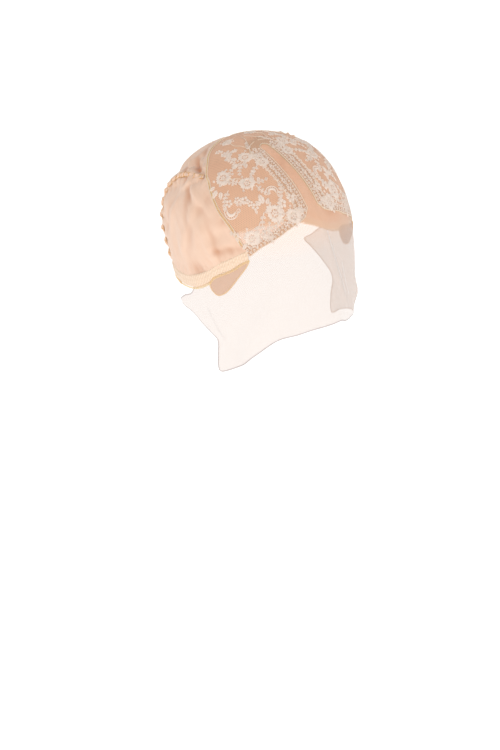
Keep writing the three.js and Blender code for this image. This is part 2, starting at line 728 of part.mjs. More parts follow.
function sidePanel(side) {
  const centre = side * SIDE_CENTRE;
  const seam = flatLine(onSide(LACE_SEAM.slice(GATHER_JOIN), side), centre);
  const middleRow = [...MIDDLE.filter((row) => row.angle < GATHER_ANGLE), GATHER_END];
  const middle = flatLine(onSide(middleRow, side), centre);
  const gather = flatLine(onSide(GATHER_LINE, side), centre).reverse();
  const outline = closedOutline([seam, middle, gather]);
  return clothSheet(drawnIn(outline), [], centre, CLOTH_CELL, 0, CLOTH_THICKNESS);
}

function backPanel() {
  const top = flatLine(LACE_SEAM.slice(0, GATHER_JOIN + 1), 180).reverse();
  const gather = flatLine(GATHER_LINE, 180).reverse();
  const middle = flatLine([GATHER_END, ...MIDDLE.filter((row) => row.angle > GATHER_ANGLE)], 180).reverse();
  const half = [...middle, ...gather, ...top];
  const outline = closedOutline([half, mirroredLine(half)]);
  return clothSheet(drawnIn(outline), [], 180, CLOTH_CELL, 0, CLOTH_THICKNESS);
}

// The rows of a line up to the gathered seam, or from it on
function rowsBeside(rows, behind) {
  const end = { angle: GATHER_ANGLE, down: downAt(rows, GATHER_ANGLE) };
  if (behind) return [end, ...rows.filter((row) => row.angle > GATHER_ANGLE)];
  return [...rows.filter((row) => row.angle < GATHER_ANGLE), end];
}

function hemBand(side) {
  const centre = side * SIDE_CENTRE;
  const top = flatLine(onSide(rowsBeside(BAND_TOP, false), side), centre);
  const bottom = flatLine(onSide(rowsBeside(BAND_BOTTOM, false), side), centre).reverse();
  const front = onSide([FRONT_END, SEAM_END], side).map((row) => flatPoint(row, centre));
  const outline = closedOutline([top, bottom, front]);
  return clothSheet(drawnIn(outline), [], centre, CLOTH_CELL, UPPER, BAND_THICKNESS);
}

function napeBand() {
  const top = flatLine(rowsBeside(BAND_TOP, true), 180);
  const bottom = flatLine(rowsBeside(BAND_BOTTOM, true), 180).reverse();
  const outline = closedOutline([bottom, top, mirroredLine(top), mirroredLine(bottom)]);
  return clothSheet(drawnIn(outline), [], 180, CLOTH_CELL, UPPER, BAND_THICKNESS);
}

function earTab(side) {
  const centre = side * SIDE_CENTRE;
  const lobe = flatLine(onSide(EAR_TAB, side), centre, OUTLINE_STEP / 2);
  const top = BAND_BOTTOM.filter((row) => row.angle <= EAR_TAB[0].angle);
  const outline = closedOutline([lobe, flatLine(onSide(top, side), centre)]);
  return clothSheet(drawnIn(outline), [], centre, CLOTH_CELL, UPPER, TAB_THICKNESS);
}

// A closed body through rings of points, each ring with the same count, its ends closed flat
function lofted(rings) {
  const count = rings[0].length;
  const positions = rings.flat().flatMap((point) => point.toArray());
  const index = [];
  for (let i = 0; i < rings.length - 1; i++) {
    for (let j = 0; j < count; j++) {
      const a = i * count + j;
      const b = i * count + (j + 1) % count;
      index.push(a, b, a + count, b, b + count, a + count);
    }
  }
  const last = (rings.length - 1) * count;
  for (let j = 1; j < count - 1; j++) {
    index.push(0, j + 1, j);
    index.push(last, last + j, last + j + 1);
  }
  const geometry = new THREE.BufferGeometry();
  geometry.setAttribute('position', new THREE.Float32BufferAttribute(positions, 3));
  geometry.setIndex(index);
  return geometry;
}

// The gathered seam stands up in scallops that swing from side to side, low at its ends
function gatherSeam(side) {
  const centre = side * SIDE_CENTRE;
  const line = flatLine(onSide(GATHER_LINE, side), centre, GATHER_PITCH / SCALLOP_STEPS);
  const clearOfLace = (SEAM_LAP + GATHER_WIDTH) * SCALLOP_STEPS / GATHER_PITCH;
  const lowest = downAt(BAND_TOP, GATHER_ANGLE) * FORM_ARC - GATHER_WIDTH / 2 - SEAM_GAP;
  const used = line.slice(Math.ceil(clearOfLace)).filter((point) => -point.y < lowest);
  const rings = used.map((point, i) => {
    const before = used[Math.max(i - 1, 0)];
    const after = used[Math.min(i + 1, used.length - 1)];
    const along = after.clone().sub(before).normalize();
    const wave = 2 * Math.PI * i / SCALLOP_STEPS;
    const fromEnd = Math.min(i, used.length - 1 - i, SCALLOP_STEPS) / SCALLOP_STEPS;
    const scallop = THREE.MathUtils.mapLinear(Math.cos(wave), -1, 1, SCALLOP_LOW, 1);
    const height = GATHER_HEIGHT * scallop * THREE.MathUtils.lerp(SCALLOP_END, 1, fromEnd);
    const swing = GATHER_WIDTH * SCALLOP_SWING * Math.sin(wave);
    return SCALLOP_SECTION.map(({ across, up }) => {
      const shift = across * GATHER_WIDTH + swing * up;
      const x = point.x - along.y * shift;
      const y = point.y + along.x * shift;
      return wornPoint(x, y, centre, UPPER + up * height);
    });
  });
  return lofted(rings);
}

const cap = new THREE.Group();
addMesh(cap, 'front_lace', frontLace(), fabric(0xdcccbe, 0.7));
addMesh(cap, 'back_panel', backPanel(), fabric(0xeecfb2));
addMesh(cap, 'hem_band_nape', napeBand(), fabric(0xf0dcc0));
for (const [name, side] of [['right', -1], ['left', 1]]) {
  addMesh(cap, `floral_panel_${name}`, floralPanel(side), fabric(0xf0dcd0, 0.75));
  addMesh(cap, `edge_tape_${name}`, edgeTape(side), fabric(0xd8c8a4));
  addMesh(cap, `side_panel_${name}`, sidePanel(side), fabric(0xf2d8be));
  addMesh(cap, `hem_band_${name}`, hemBand(side), fabric(0xf0dcc0));
  addMesh(cap, `ear_tab_${name}`, earTab(side), fabric(0xe0c4a4));
  addMesh(cap, `gather_seam_${name}`, gatherSeam(side), fabric(0xe0b070));
}

export default cap;
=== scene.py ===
# A lace-front wig cap in its worn form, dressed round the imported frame.
# Tables and forms are in millimetres, and meshes are made in metres. +Z is up, the wearer faces
# -Y and the wearer's right is -X. A place on the cap is an angle round from the middle of the
# front, in degrees, and a distance from the crown.
import math

import bpy
import numpy as np
from mathutils import Matrix, Vector, noise
from mathutils.geometry import delaunay_2d_cdt


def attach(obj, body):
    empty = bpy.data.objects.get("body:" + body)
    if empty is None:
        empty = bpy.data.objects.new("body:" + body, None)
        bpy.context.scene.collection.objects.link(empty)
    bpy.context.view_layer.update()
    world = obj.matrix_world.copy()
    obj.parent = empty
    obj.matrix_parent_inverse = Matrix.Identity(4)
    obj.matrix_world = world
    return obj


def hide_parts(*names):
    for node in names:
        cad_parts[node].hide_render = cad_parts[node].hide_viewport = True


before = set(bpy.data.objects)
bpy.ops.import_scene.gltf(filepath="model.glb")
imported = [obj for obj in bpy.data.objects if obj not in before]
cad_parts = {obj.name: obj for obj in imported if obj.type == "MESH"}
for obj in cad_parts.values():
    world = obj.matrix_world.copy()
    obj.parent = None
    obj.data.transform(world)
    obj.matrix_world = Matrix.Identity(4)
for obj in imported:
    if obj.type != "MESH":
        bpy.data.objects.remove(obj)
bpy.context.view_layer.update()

MM = 0.001
MM = 0.001

# The form that the cap takes when it is worn, as in the solids
HALF_BREADTH = 79.5
FRONT_REACH = 92.0
BACK_REACH = 95.0
FORM_ARC = 260.0
FORM_DEPTH = 228.0
NECK_PINCH = 0.09

# The cap sits lower over the wearer's left temple. Each pair is where that starts and where it is
# full or over: across as shares of HALF_BREADTH, forward of FRONT_REACH, below of FORM_DEPTH.
LEFT_DROP = 12.0
DROP_ACROSS = (-0.075, 0.7)
DROP_FORWARD = (-0.43, 0.43)
DROP_STARTS = (0.02, 0.31)
DROP_ENDS = (0.44, 0.75)

# Heights of the layers over the form
INNER = 0.15
CLOTH_TOP = 0.95
NET_HEIGHT = 0.55
TAPE_HEIGHT = 0.85
LACE_HEIGHT = 1.2
TAB_HEIGHT = 1.4
BAND_RISE = 0.6

SEAM_LAP = 3.0
PARTING_START = 8.0
PARTING_HALF_REAR = 4.0
PARTING_HALF_FRONT = 6.0
CORNER_ROUND = 5.0
LACE_CENTRE = 55
SIDE_CENTRE = 90
NEAR_CROWN = 0.1
CROWN_TIP = 0.001

# The sheer net: where its colour turns, its folded and cut edges, and its bulge at the front
UPPER_ARC = 112.0
UPPER_FADE = 22.0
CREASE_WIDTH = 1.6
RIM_WIDTH = 1.2
BULGE_RISE = 9.0
BULGE_DOWN = (0.45, 0.68)
BULGE_HALF_ANGLE = 11

# Raised work of the lace
BORDER_WIDTH = 9.5
BORDER_START = 6
RING_PITCH = 3.4
RING_SIZE = 1.05
STITCH_FOOT = 0.05
PETAL_RISE = 0.6
STEM_RISE = 0.45
WAVE_RISE = 0.4
CORD_STEP = 1.2

FOLD_LENGTH = 30.0
FOLD_RISE = 4.0
FOLD_FADE = 5.0
CREASE_FADE = (0.8, 4.0)
GATHER_PITCH = 10.0
GATHER_WIDTH = 3.4
GATHER_HEIGHT = 2.6
RUFFLE_STEP = 0.5
BAND_STEP = 0.45
BAND_ROWS = 19
BAND_FRONT = 50.2

CLOTH_CELL = 1.5
LACE_CELL = 2.2
VEIL_CELL = 2.4
OUTLINE_STEP = 1.6
OUTLINE_GAP = 0.3
TRIANGLE_ROW = 0.87
EDGE_CLEAR = 0.55

# Floor and camera, in metres and degrees
FLOOR_DEPTH = 1.0
AZIMUTH = -40.4
ELEVATION = 27.0
ROLL = -2.76
PITCH = 7.315
YAW = 0.1825
DISTANCE = 1.6
LENS = 87.17


def table(columns, *rows):
    """Rows with named columns."""
    return [dict(zip(columns.split(), row)) for row in rows]


def path_table(*rows):
    """Places along a line. down is a share of FORM_ARC."""
    return table("angle down", *rows)


def fold_table(*rows):
    """Folds, dents and creases: long and wide are shares of FOLD_LENGTH, rise of FOLD_RISE."""
    return table("angle down turn long wide rise", *rows)


RINGS = table(
    "drop breadth front back pinch",
    (0.0, 0.0, 0.0, 0.0, 0),
    (0.013, 0.246, 0.206, 0.204, 0),
    (0.044, 0.488, 0.405, 0.411, 0),
    (0.091, 0.71, 0.604, 0.614, 0),
    (0.163, 0.884, 0.774, 0.804, 0),
    (0.257, 0.979, 0.894, 0.94, 0),
    (0.361, 1.0, 0.957, 1.015, 0.1),
    (0.468, 0.994, 0.981, 0.965, 0.35),
    (0.56, 0.973, 0.993, 0.87, 0.3),
    (0.649, 0.946, 1.0, 0.74, 0.9),
    (0.737, 0.907, 1.0, 0.69, 1),
    (0.825, 0.883, 0.989, 0.67, 1),
    (0.912, 0.87, 0.969, 0.67, 1),
    (1.0, 0.87, 0.939, 0.67, 1),
)
# Lines on the wearer's left, mirrored for the right
LACE_SEAM = path_table(
    (180, 0.144), (160, 0.146), (138, 0.153), (116.5, 0.168), (104, 0.187), (95.6, 0.207),
    (90, 0.216), (82, 0.241), (74.7, 0.268), (69, 0.292), (63.2, 0.314), (59, 0.333),
    (55.5, 0.355), (52.4, 0.38), (50.4, 0.398), (49.2, 0.411),
)
GATHER_JOIN = 5
GATHER_SEAM = path_table(
    (95.6, 0.207), (103.9, 0.222), (116.9, 0.244), (127.5, 0.275), (133, 0.312), (136.5, 0.358),
    (137, 0.4), (134.5, 0.435), (130, 0.475), (126.5, 0.52), (124, 0.57),
)
PANEL_FRONT = path_table(
    (8.8, 0.326), (13.4, 0.335), (22, 0.347), (29.4, 0.363), (36.2, 0.377), (42.6, 0.392),
    (49.3, 0.416),
)
TAPE_INSIDE = path_table(
    (180, 0.02), (130, 0.036), (80, 0.056), (45, 0.083), (29.8, 0.118), (21.6, 0.164),
    (17.4, 0.218), (15.2, 0.26), (15.5, 0.291), (18.5, 0.314), (28.1, 0.335), (35.3, 0.351),
    (42, 0.366), (51.4, 0.388),
)
BAND_TOP = path_table(
    (50.4, 0.398), (56.6, 0.4115), (63.4, 0.4315), (69.8, 0.45), (76.7, 0.478), (86.7, 0.5095),
    (98, 0.533), (110, 0.547), (127, 0.566), (150, 0.592), (180, 0.61),
)
BAND_BOTTOM = path_table(
    (49.9, 0.4245), (55, 0.438), (60, 0.4565), (64.2, 0.469), (70.6, 0.4872), (74.3, 0.501),
    (77, 0.519), (84.7, 0.5483), (91.6, 0.5665), (101, 0.58), (110, 0.589), (127, 0.607),
    (150, 0.63), (180, 0.648),
)
EAR_TAB = path_table(
    (77, 0.519), (76.5, 0.5377), (73.8, 0.5537), (70.9, 0.5557), (66.4, 0.5398), (61.9, 0.5132),
    (57.5, 0.4837), (53.1, 0.4561), (50.3, 0.435), (49.9, 0.4245),
)
# The veil's free edge, from behind the right ear tab round to behind the left one
VEIL_EDGE = path_table(
    (-88, 0.535), (-94.1, 0.595), (-101.5, 0.621), (-108, 0.659), (-97, 0.681), (-91, 0.702),
    (-80.1, 0.747), (-78.8, 0.767), (-80.3, 0.8235), (-81.3, 0.8815), (-78.3, 0.897),
    (-63.7, 0.841), (-54, 0.783), (-38.9, 0.712), (-24.4, 0.693), (-12.1, 0.68), (-3.1, 0.669),
    (2.4, 0.67), (8, 0.69), (14.9, 0.709), (24.8, 0.726), (37, 0.755), (52, 0.79), (66, 0.835),
    (78.3, 0.89), (80.3, 0.8235), (80.1, 0.747), (91, 0.702), (108, 0.659), (101.5, 0.621),
    (88, 0.535),
)
FOLDS = fold_table(
    (106, 0.2, -75, 0.32, 0.17, -1), (118, 0.206, -70, 0.4, 0.2, -1.3),
    (112, 0.204, -72, 0.3, 0.12, 0.6), (134, 0.226, -60, 0.5, 0.22, -1.2),
    (148, 0.265, -50, 0.6, 0.22, -0.8), (153, 0.33, 10, 0.7, 0.2, -0.7),
    (156, 0.375, 5, 0.7, 0.2, 0.5), (152, 0.43, -5, 0.7, 0.22, -0.7),
    (148, 0.5, -10, 0.6, 0.22, -0.6), (178, 0.5, 90, 0.9, 0.3, 0.5),
    (122, 0.31, 12, 0.6, 0.18, -0.5), (124, 0.37, 5, 0.7, 0.18, 0.4),
    (122, 0.43, -8, 0.6, 0.18, -0.45), (95, 0.34, -50, 1, 0.22, 0.45),
    (80, 0.38, -48, 0.9, 0.2, 0.4), (68, 0.365, 25, 0.5, 0.18, -0.5),
    (105, 0.44, -65, 0.8, 0.22, -0.4),
)
VEIL_FOLDS = fold_table(
    (5, 0.5, 82, 1, 0.1, 0.55), (11, 0.6, 70, 0.9, 0.1, 0.6), (40, 0.66, 60, 0.9, 0.22, 0.7),
    (-46, 0.64, -65, 1.3, 0.3, 0.6), (-66, 0.74, -80, 1.1, 0.26, -0.8),
    (-107, 0.66, -60, 0.5, 0.4, 1.2), (107, 0.66, 60, 0.5, 0.4, 1.2),
    (66, 0.76, 80, 1.1, 0.26, -0.8),
)
# Fine creases of the stretch fabric, on the left and mirrored
CREASES = fold_table(
    (126, 0.2155, 2, 0.6, 0.085, -0.95), (130, 0.239, 4, 0.5, 0.085, 0.6),
    (124, 0.1935, 0, 0.5, 0.07, 0.45), (133, 0.262, 0, 0.4, 0.09, -0.7),
    (150, 0.19, 5, 0.5, 0.09, -0.5), (97, 0.274, -20, 0.6, 0.1, 0.5),
    (98, 0.293, -20, 0.6, 0.11, -0.4), (60.6, 0.4, 8, 0.28, 0.09, -0.4),
    (70, 0.417, 10, 0.25, 0.09, -0.4), (66, 0.321, 50, 0.15, 0.1, -0.25),
    (78, 0.385, -60, 0.7, 0.12, 0.3), (72, 0.398, -60, 0.6, 0.1, -0.28),
    (85, 0.49, 10, 0.3, 0.17, -0.4), (93, 0.3, -62, 0.9, 0.14, 0.32),
    (99, 0.318, -62, 0.8, 0.13, -0.3), (88, 0.35, 75, 0.9, 0.16, -0.25),
    (112, 0.34, 85, 0.8, 0.14, 0.25), (118, 0.4, 80, 0.8, 0.13, -0.25),
    (98, 0.44, 70, 0.6, 0.16, 0.25), (106, 0.262, 60, 0.4, 0.1, -0.3),
    (112, 0.27, 60, 0.4, 0.1, 0.28),
)
# Sharp creases of the sheer net, where it stays folded
VEIL_CREASES = [
    path_table((4.4, 0.383), (4.4, 0.421), (7.1, 0.486), (11.4, 0.549), (14.5, 0.648)),
    path_table((13.1, 0.483), (15.1, 0.543), (19.2, 0.6055)),
    path_table((-81.5, 0.626), (-77.5, 0.687), (-73.3, 0.747)),
]
# Fine cords over the crown, on the wearer's right
CROWN_LINES = [
    path_table((-157, 0.126), (-141, 0.0896), (-121.5, 0.0754), (-105, 0.057), (-80, 0.052)),
    path_table((-175, 0.069), (-160, 0.042), (-130, 0.032), (-90, 0.034)),
    path_table((-53, 0.194), (-60, 0.184), (-77, 0.1977)),
]
# Lace motifs on the wearer's right panel by kind: angle, down as a share of FORM_ARC, size in
# millimetres and turn in degrees from upright
MOTIFS = {
    "rose": (
        (-64, 0.094, 6.6, 20), (-30.5, 0.116, 5.6, 0), (-78, 0.192, 7.4, 10),
        (-50.4, 0.197, 6.6, 40), (-29.6, 0.296, 7.6, 15), (-17, 0.314, 6.6, 0),
        (-46.6, 0.361, 6.6, 30), (-150, 0.104, 5.2, 0),
    ),
    "daisy": (
        (-41.6, 0.09, 3.6, 10), (-57.4, 0.254, 2.8, 0), (-51.1, 0.253, 3.4, 0),
        (-47, 0.263, 2.8, 30), (-43, 0.273, 3.2, 50), (-63.5, 0.268, 3.4, 0),
        (-22.5, 0.272, 4, 20), (-14.6, 0.262, 3.8, 20), (-124.3, 0.131, 3, 0),
        (-109, 0.118, 3.2, 0), (-100.8, 0.084, 2.8, 0),
    ),
    "leaf": (
        (-76, 0.112, 6, 100), (-70, 0.128, 7, 165), (-58, 0.12, 6, 200),
        (-41.5, 0.15, 5, 120), (-40, 0.176, 5, 215), (-77.4, 0.236, 8, 175),
        (-73.5, 0.238, 7, 205), (-81, 0.228, 6, 150), (-43, 0.281, 4, 200),
        (-36.6, 0.266, 9, 20), (-38.4, 0.268, 6, 60), (-34.6, 0.268, 6, -30), (-36.5, 0.36, 5, 60),
        (-24.5, 0.285, 5, 200), (-50.8, 0.378, 5, 150), (-54.8, 0.372, 4, 60),
        (-116, 0.123, 4, 60), (-103, 0.112, 4.5, -80), (-100.8, 0.098, 5, 0),
        (-93, 0.12, 4, 160),
    ),
    "spray": (
        (-66, 0.118, 17, 172), (-61, 0.112, 13, 190), (-50, 0.085, 9, -60), (-38, 0.126, 16, 168),
        (-69.5, 0.188, 12, -88), (-60.4, 0.205, 9, 100), (-44, 0.193, 10, -70),
        (-70, 0.135, 12, 90), (-41.4, 0.204, 12, -118), (-66.8, 0.228, 14, 195),
        (-60, 0.262, 8, -80), (-37, 0.29, 13, 180), (-40.5, 0.318, 13, 175),
        (-34.5, 0.322, 12, 190), (-24, 0.262, 12, -10), (-20.5, 0.25, 14, 160),
        (-53.5, 0.363, 8, 80), (-41, 0.357, 9, -85), (-89, 0.115, 9, 80), (-84, 0.12, 11, 100),
        (-60, 0.06, 9, 60),
    ),
    "crescent": (
        (-28.1, 0.234, 5.4, 100), (-60.8, 0.288, 6.4, -75),
    ),
    "bud": (
        (-54.4, 0.2525, 1.5, 0),
    ),
}


def even_spline(values, step):
    """Natural cubic spline through evenly spaced values."""
    values = np.asarray(values, float)
    count = len(values)
    system = np.eye(count)
    load = np.zeros(count)
    for i in range(1, count - 1):
        system[i, i - 1:i + 2] = (1, 4, 1)
        load[i] = 6 * (values[i + 1] - 2 * values[i] + values[i - 1]) / step**2
    bend = np.linalg.solve(system, load)

    def at(place):
        t = np.asarray(place, float) / step
        i = np.clip(np.floor(t).astype(int), 0, count - 2)
        b = t - i
        a = 1 - b
        curve = (a**3 - a) * bend[i] + (b**3 - b) * bend[i + 1]
        return a * values[i] + b * values[i + 1] + curve * step * step / 6

    return at


def ring_column(name, size, sign):
    """A column of RINGS against the distance from the crown, mirrored through the crown."""
    side = np.array([ring[name] * size for ring in RINGS[1:]])
    values = np.concatenate([sign * side[::-1], [0], side])
    spline = even_spline(values, FORM_ARC / (len(RINGS) - 1))
    return lambda arc: spline(np.asarray(arc) + FORM_ARC)


drop_at = ring_column("drop", FORM_DEPTH, 1)
breadth_at = ring_column("breadth", HALF_BREADTH, -1)
front_at = ring_column("front", FRONT_REACH, -1)
back_at = ring_column("back", BACK_REACH, -1)
pinch_at = ring_column("pinch", NECK_PINCH, 1)


def form_point(angle, arc):
    """Points of the bare form, for angles in radians."""
    forward = np.cos(angle)
    pinched = np.where(forward < 0, 1 - pinch_at(arc) * np.sin(2 * angle) ** 2, 1)
    x = breadth_at(arc) * np.sin(angle) * pinched
    y = np.where(forward > 0, -front_at(arc), -back_at(arc)) * forward * pinched
    return np.stack([x, y, -drop_at(arc)], axis=-1)


def ring_radius(arc):
    depth = (front_at(arc) + back_at(arc)) / 2
    return np.sqrt((breadth_at(arc) ** 2 + depth**2) / 2)


def form_normal(angle, arc):
    near = 0.4
    turn = near / np.maximum(ring_radius(arc), 1)
    across = form_point(angle + turn, arc) - form_point(angle - turn, arc)
    along = form_point(angle, arc + near) - form_point(angle, arc - near)
    normal = np.cross(along, across)
    return normal / np.linalg.norm(normal, axis=-1, keepdims=True)


def wrap(angle):
    return (angle + 540) % 360 - 180


def smoothstep(value, low, high):
    t = np.clip((value - low) / (high - low), 0, 1)
    return t * t * (3 - 2 * t)


def settled(points):
    """Points in millimetres, lowered over the wearer's left temple."""
    across = smoothstep(points[:, 0] / HALF_BREADTH, *DROP_ACROSS)
    forward = smoothstep(-points[:, 1] / FRONT_REACH, *DROP_FORWARD)
    depth = -points[:, 2] / FORM_DEPTH
    below = smoothstep(depth, *DROP_STARTS) * (1 - smoothstep(depth, *DROP_ENDS))
    lowered = points.copy()
    lowered[:, 2] -= LEFT_DROP * across * forward * below
    return lowered


def catmull_rom(points, t):
    last = len(points) - 1
    i = min(int(t), last - 1)
    w = t - i
    p0, p1, p2, p3 = points[max(i - 1, 0)], points[i], points[i + 1], points[min(i + 2, last)]
    v0, v1 = (p2 - p0) / 2, (p3 - p1) / 2
    cubic = (2 * p1 - 2 * p2 + v0 + v1) * w**3
    return cubic + (-3 * p1 + 3 * p2 - 2 * v0 - v1) * w**2 + v0 * w + p1


def smooth_line(rows, step=OUTLINE_STEP):
    """A smooth line through rows, as angles in degrees and distances from the crown."""
    rows = np.array([(row["angle"], row["down"]) for row in rows], float)
    above = (rows[:, 1] < NEAR_CROWN).any()
    turn = np.radians(rows[:, 0])
    plan = rows
    if above:
        plan = np.stack([rows[:, 1] * np.sin(turn), rows[:, 1] * np.cos(turn)], axis=1)
    places = form_point(turn, rows[:, 1] * FORM_ARC)
    line = [plan[0]]
    for i in range(1, len(rows)):
        count = max(round(np.linalg.norm(places[i] - places[i - 1]) / step), 1)
        line += [catmull_rom(plan, i - 1 + j / count) for j in range(1, count + 1)]
    line = np.array(line)
    if above:
        line = np.stack([np.degrees(np.arctan2(line[:, 0], line[:, 1])), np.hypot(*line.T)], axis=1)
    return line * (1, FORM_ARC)


def flat(line, centre):
    """The cloth laid out flat: across is the distance round the ring, up is against the arc."""
    across = ring_radius(line[:, 1]) * np.radians(wrap(line[:, 0] - centre))
    return np.stack([across, -line[:, 1]], axis=1)


def place_of(points, centre):
    arc = -points[:, 1]
    return np.stack([centre + np.degrees(points[:, 0] / ring_radius(arc)), arc], axis=1)


def nearest(points, line):
    """Distance from each point to a line of points, and the nearest one's number."""
    distance = np.empty(len(points))
    number = np.empty(len(points), int)
    for start in range(0, len(points), 2000):
        part = points[start:start + 2000]
        gap = np.linalg.norm(part[:, None] - line[None], axis=2)
        number[start:start + 2000] = gap.argmin(axis=1)
        distance[start:start + 2000] = gap.min(axis=1)
    return distance, number


def line_place(rows, step=2.0):
    line = smooth_line(rows, step)
    return form_point(np.radians(line[:, 0]), line[:, 1])


# Lines where the cloth is held down to the form, and how far beside them
lace_seam_line = line_place(LACE_SEAM)
HELD = [(lace_seam_line, SEAM_LAP + 1), (line_place(GATHER_SEAM), GATHER_WIDTH)]
HELD += [(line_place(rows), SEAM_LAP) for rows in (PANEL_FRONT, BAND_TOP, BAND_BOTTOM, EAR_TAB)]
# Small puckers beside the seams: pitch, depth and reach in millimetres
PUCKER_STEP = 0.5
PUCKERS = [
    (line_place(GATHER_SEAM, PUCKER_STEP), 10.0, 0.9, 9.0),
    (line_place(LACE_SEAM, PUCKER_STEP), 6.0, 0.22, 5.0),
    (line_place(BAND_TOP, PUCKER_STEP), 8.0, 0.35, 7.0),
]
# Slack of the stretch fabric: depth, length, width and where its noise starts
SLACK = [(0.3, 34, 9, 0.3), (0.15, 15, 4, 5.1)]


def fold_height(fold, angle, arc, side):
    across = np.radians(wrap(angle - side * fold["angle"])) * ring_radius(arc)
    along = arc - fold["down"] * FORM_ARC
    turn = math.radians(side * fold["turn"])
    u = (across * math.cos(turn) + along * math.sin(turn)) / (fold["long"] * FOLD_LENGTH)
    v = (along * math.cos(turn) - across * math.sin(turn)) / (fold["wide"] * FOLD_LENGTH)
    return fold["rise"] * FOLD_RISE * np.exp(-u * u - v * v)


def relief(angle, arc):
    """Height of the cloth over the bare form, for angles in degrees."""
    height = np.zeros(len(angle))
    for fold in FOLDS:
        height += fold_height(fold, angle, arc, 1) + fold_height(fold, angle, arc, -1)
    for fold in VEIL_FOLDS:
        height += fold_height(fold, angle, arc, 1)
    places = form_point(np.radians(np.abs(wrap(angle))), arc)
    fade = np.ones(len(angle))
    for line, reach in HELD:
        fade = np.minimum(fade, smoothstep(nearest(places, line)[0], reach, reach + FOLD_FADE))
    bulge = BULGE_RISE * smoothstep(arc / FORM_ARC, *BULGE_DOWN)
    bulge *= np.exp(-(wrap(angle) / BULGE_HALF_ANGLE) ** 2)
    return bulge + height * fade


def puckers(angle, arc):
    """Fine gathers beside the seams, and slack and creases in the stretch fabric."""
    side = np.abs(wrap(angle))
    places = form_point(np.radians(side), arc)
    height = np.zeros(len(angle))
    for line, pitch, depth, reach in PUCKERS:
        distance, number = nearest(places, line)
        turn = 2 * math.pi * number * PUCKER_STEP / pitch
        wave = np.sin(turn) + 0.5 * np.sin(turn / 0.37 + 1)
        height += depth * wave * smoothstep(distance, 0.6, 2.5) * np.exp(-(distance / reach) ** 2)
    across = np.radians(wrap(angle)) * ring_radius(arc)
    for depth, long, wide, start in SLACK:
        spots = [Vector(((u + v) / long, (v - u) / wide, start)) for u, v in zip(across, arc)]
        height += depth * np.array([noise.noise(spot) for spot in spots])
    fade = smoothstep(nearest(places, lace_seam_line)[0], *CREASE_FADE)
    return height + fade * sum(fold_height(crease, side, arc, 1) for crease in CREASES)


def surface(angle, arc, height):
    """Points of the worn cloth at angles in degrees, at a height over the form."""
    turn = np.radians(angle)
    lift = height + relief(angle, arc)
    return form_point(turn, arc) + form_normal(turn, arc) * lift[:, None]


def worn(points, centre, height):
    """Points of the worn cloth from places on the flat cloth."""
    return surface(*place_of(points, centre).T, height)


worn_points = {}


def linked(name, data):
    """A new object in the scene."""
    made = bpy.data.objects.new(name, data)
    bpy.context.scene.collection.objects.link(made)
    return made


def mesh_piece(name, points, faces, material, lay=None, crease_shade_depth=None):
    """A piece from points in millimetres. lay holds each point's place on the flat cloth, and
    the last argument its height in the fine creases, from which the cloth's colour paints shade."""
    worn_points[name] = points
    mesh = bpy.data.meshes.new(name)
    mesh.from_pydata((settled(points) * MM).tolist(), [], faces)
    if lay is not None:
        attribute = mesh.attributes.new("lay", "FLOAT_VECTOR", "POINT")
        padded = np.pad(lay, ((0, 0), (0, 1)))
        attribute.data.foreach_set("vector", padded.astype(np.float32).ravel())
    if crease_shade_depth is not None:
        attribute = mesh.attributes.new("crease_shade_depth", "FLOAT", "POINT")
        attribute.data.foreach_set("value", crease_shade_depth.astype(np.float32))
    mesh.shade_smooth()
    mesh.materials.append(material)
    return linked(name, mesh)


def mirror_piece(piece, name):
    """The same piece for the wearer's other side."""
    mesh = piece.data.copy()
    mesh.name = name
    points = settled(worn_points[piece.name] * (-1, 1, 1)) * MM
    mesh.vertices.foreach_set("co", points.ravel())
    mesh.flip_normals()
    mesh.update()
    return linked(name, mesh)


def inside(points, outline):
    """Which points lie inside an outline, by the crossings of a ray."""
    within = np.zeros(len(points), bool)
    x, y = points.T
    for (x1, y1), (x2, y2) in zip(outline, np.roll(outline, -1, axis=0)):
        if y1 != y2:
            crosses = (y1 > y) != (y2 > y)
            within ^= crosses & (x < (x2 - x1) * (y - y1) / (y2 - y1) + x1)
    return within


def closed_outline(*lines):
    """An outline from lines end to end, anticlockwise and without doubled points."""
    outline = []
    for point in np.concatenate(lines):
        if not outline or np.linalg.norm(point - outline[-1]) > OUTLINE_GAP:
            outline.append(point)
    if np.linalg.norm(outline[0] - outline[-1]) < OUTLINE_GAP:
        outline.pop()
    outline = np.array(outline)
    return outline if signed_area(outline) > 0 else outline[::-1]


def signed_area(outline):
    x, y = outline.T
    return (x * np.roll(y, -1) - np.roll(x, -1) * y).sum() / 2


def flat_sheet(outline, cell):
    """Points and triangles over a flat outline."""
    low, high = outline.min(axis=0), outline.max(axis=0)
    columns = np.arange(low[0], high[0], cell)
    rows = np.arange(low[1], high[1], cell * TRIANGLE_ROW)
    x, y = np.meshgrid(columns, rows)
    x = x + (np.arange(len(rows)) % 2 * cell / 2)[:, None]
    grid = np.stack([x.ravel(), y.ravel()], axis=1)
    grid = grid[inside(grid, outline)]
    grid = grid[nearest(grid, outline)[0] > cell * EDGE_CLEAR]
    points = np.concatenate([outline, grid])
    count = len(outline)
    edges = [(i, (i + 1) % count) for i in range(count)]
    made = delaunay_2d_cdt([Vector(p) for p in points.tolist()], edges, [], 0, 1e-6)
    corners = np.array([tuple(p) for p in made[0]])
    faces = np.array([tuple(f) for f in made[2]])
    faces = faces[inside(corners[faces].mean(axis=1), outline)]
    used, faces = np.unique(faces, return_inverse=True)
    return corners[used], faces.reshape(-1, 3).tolist()


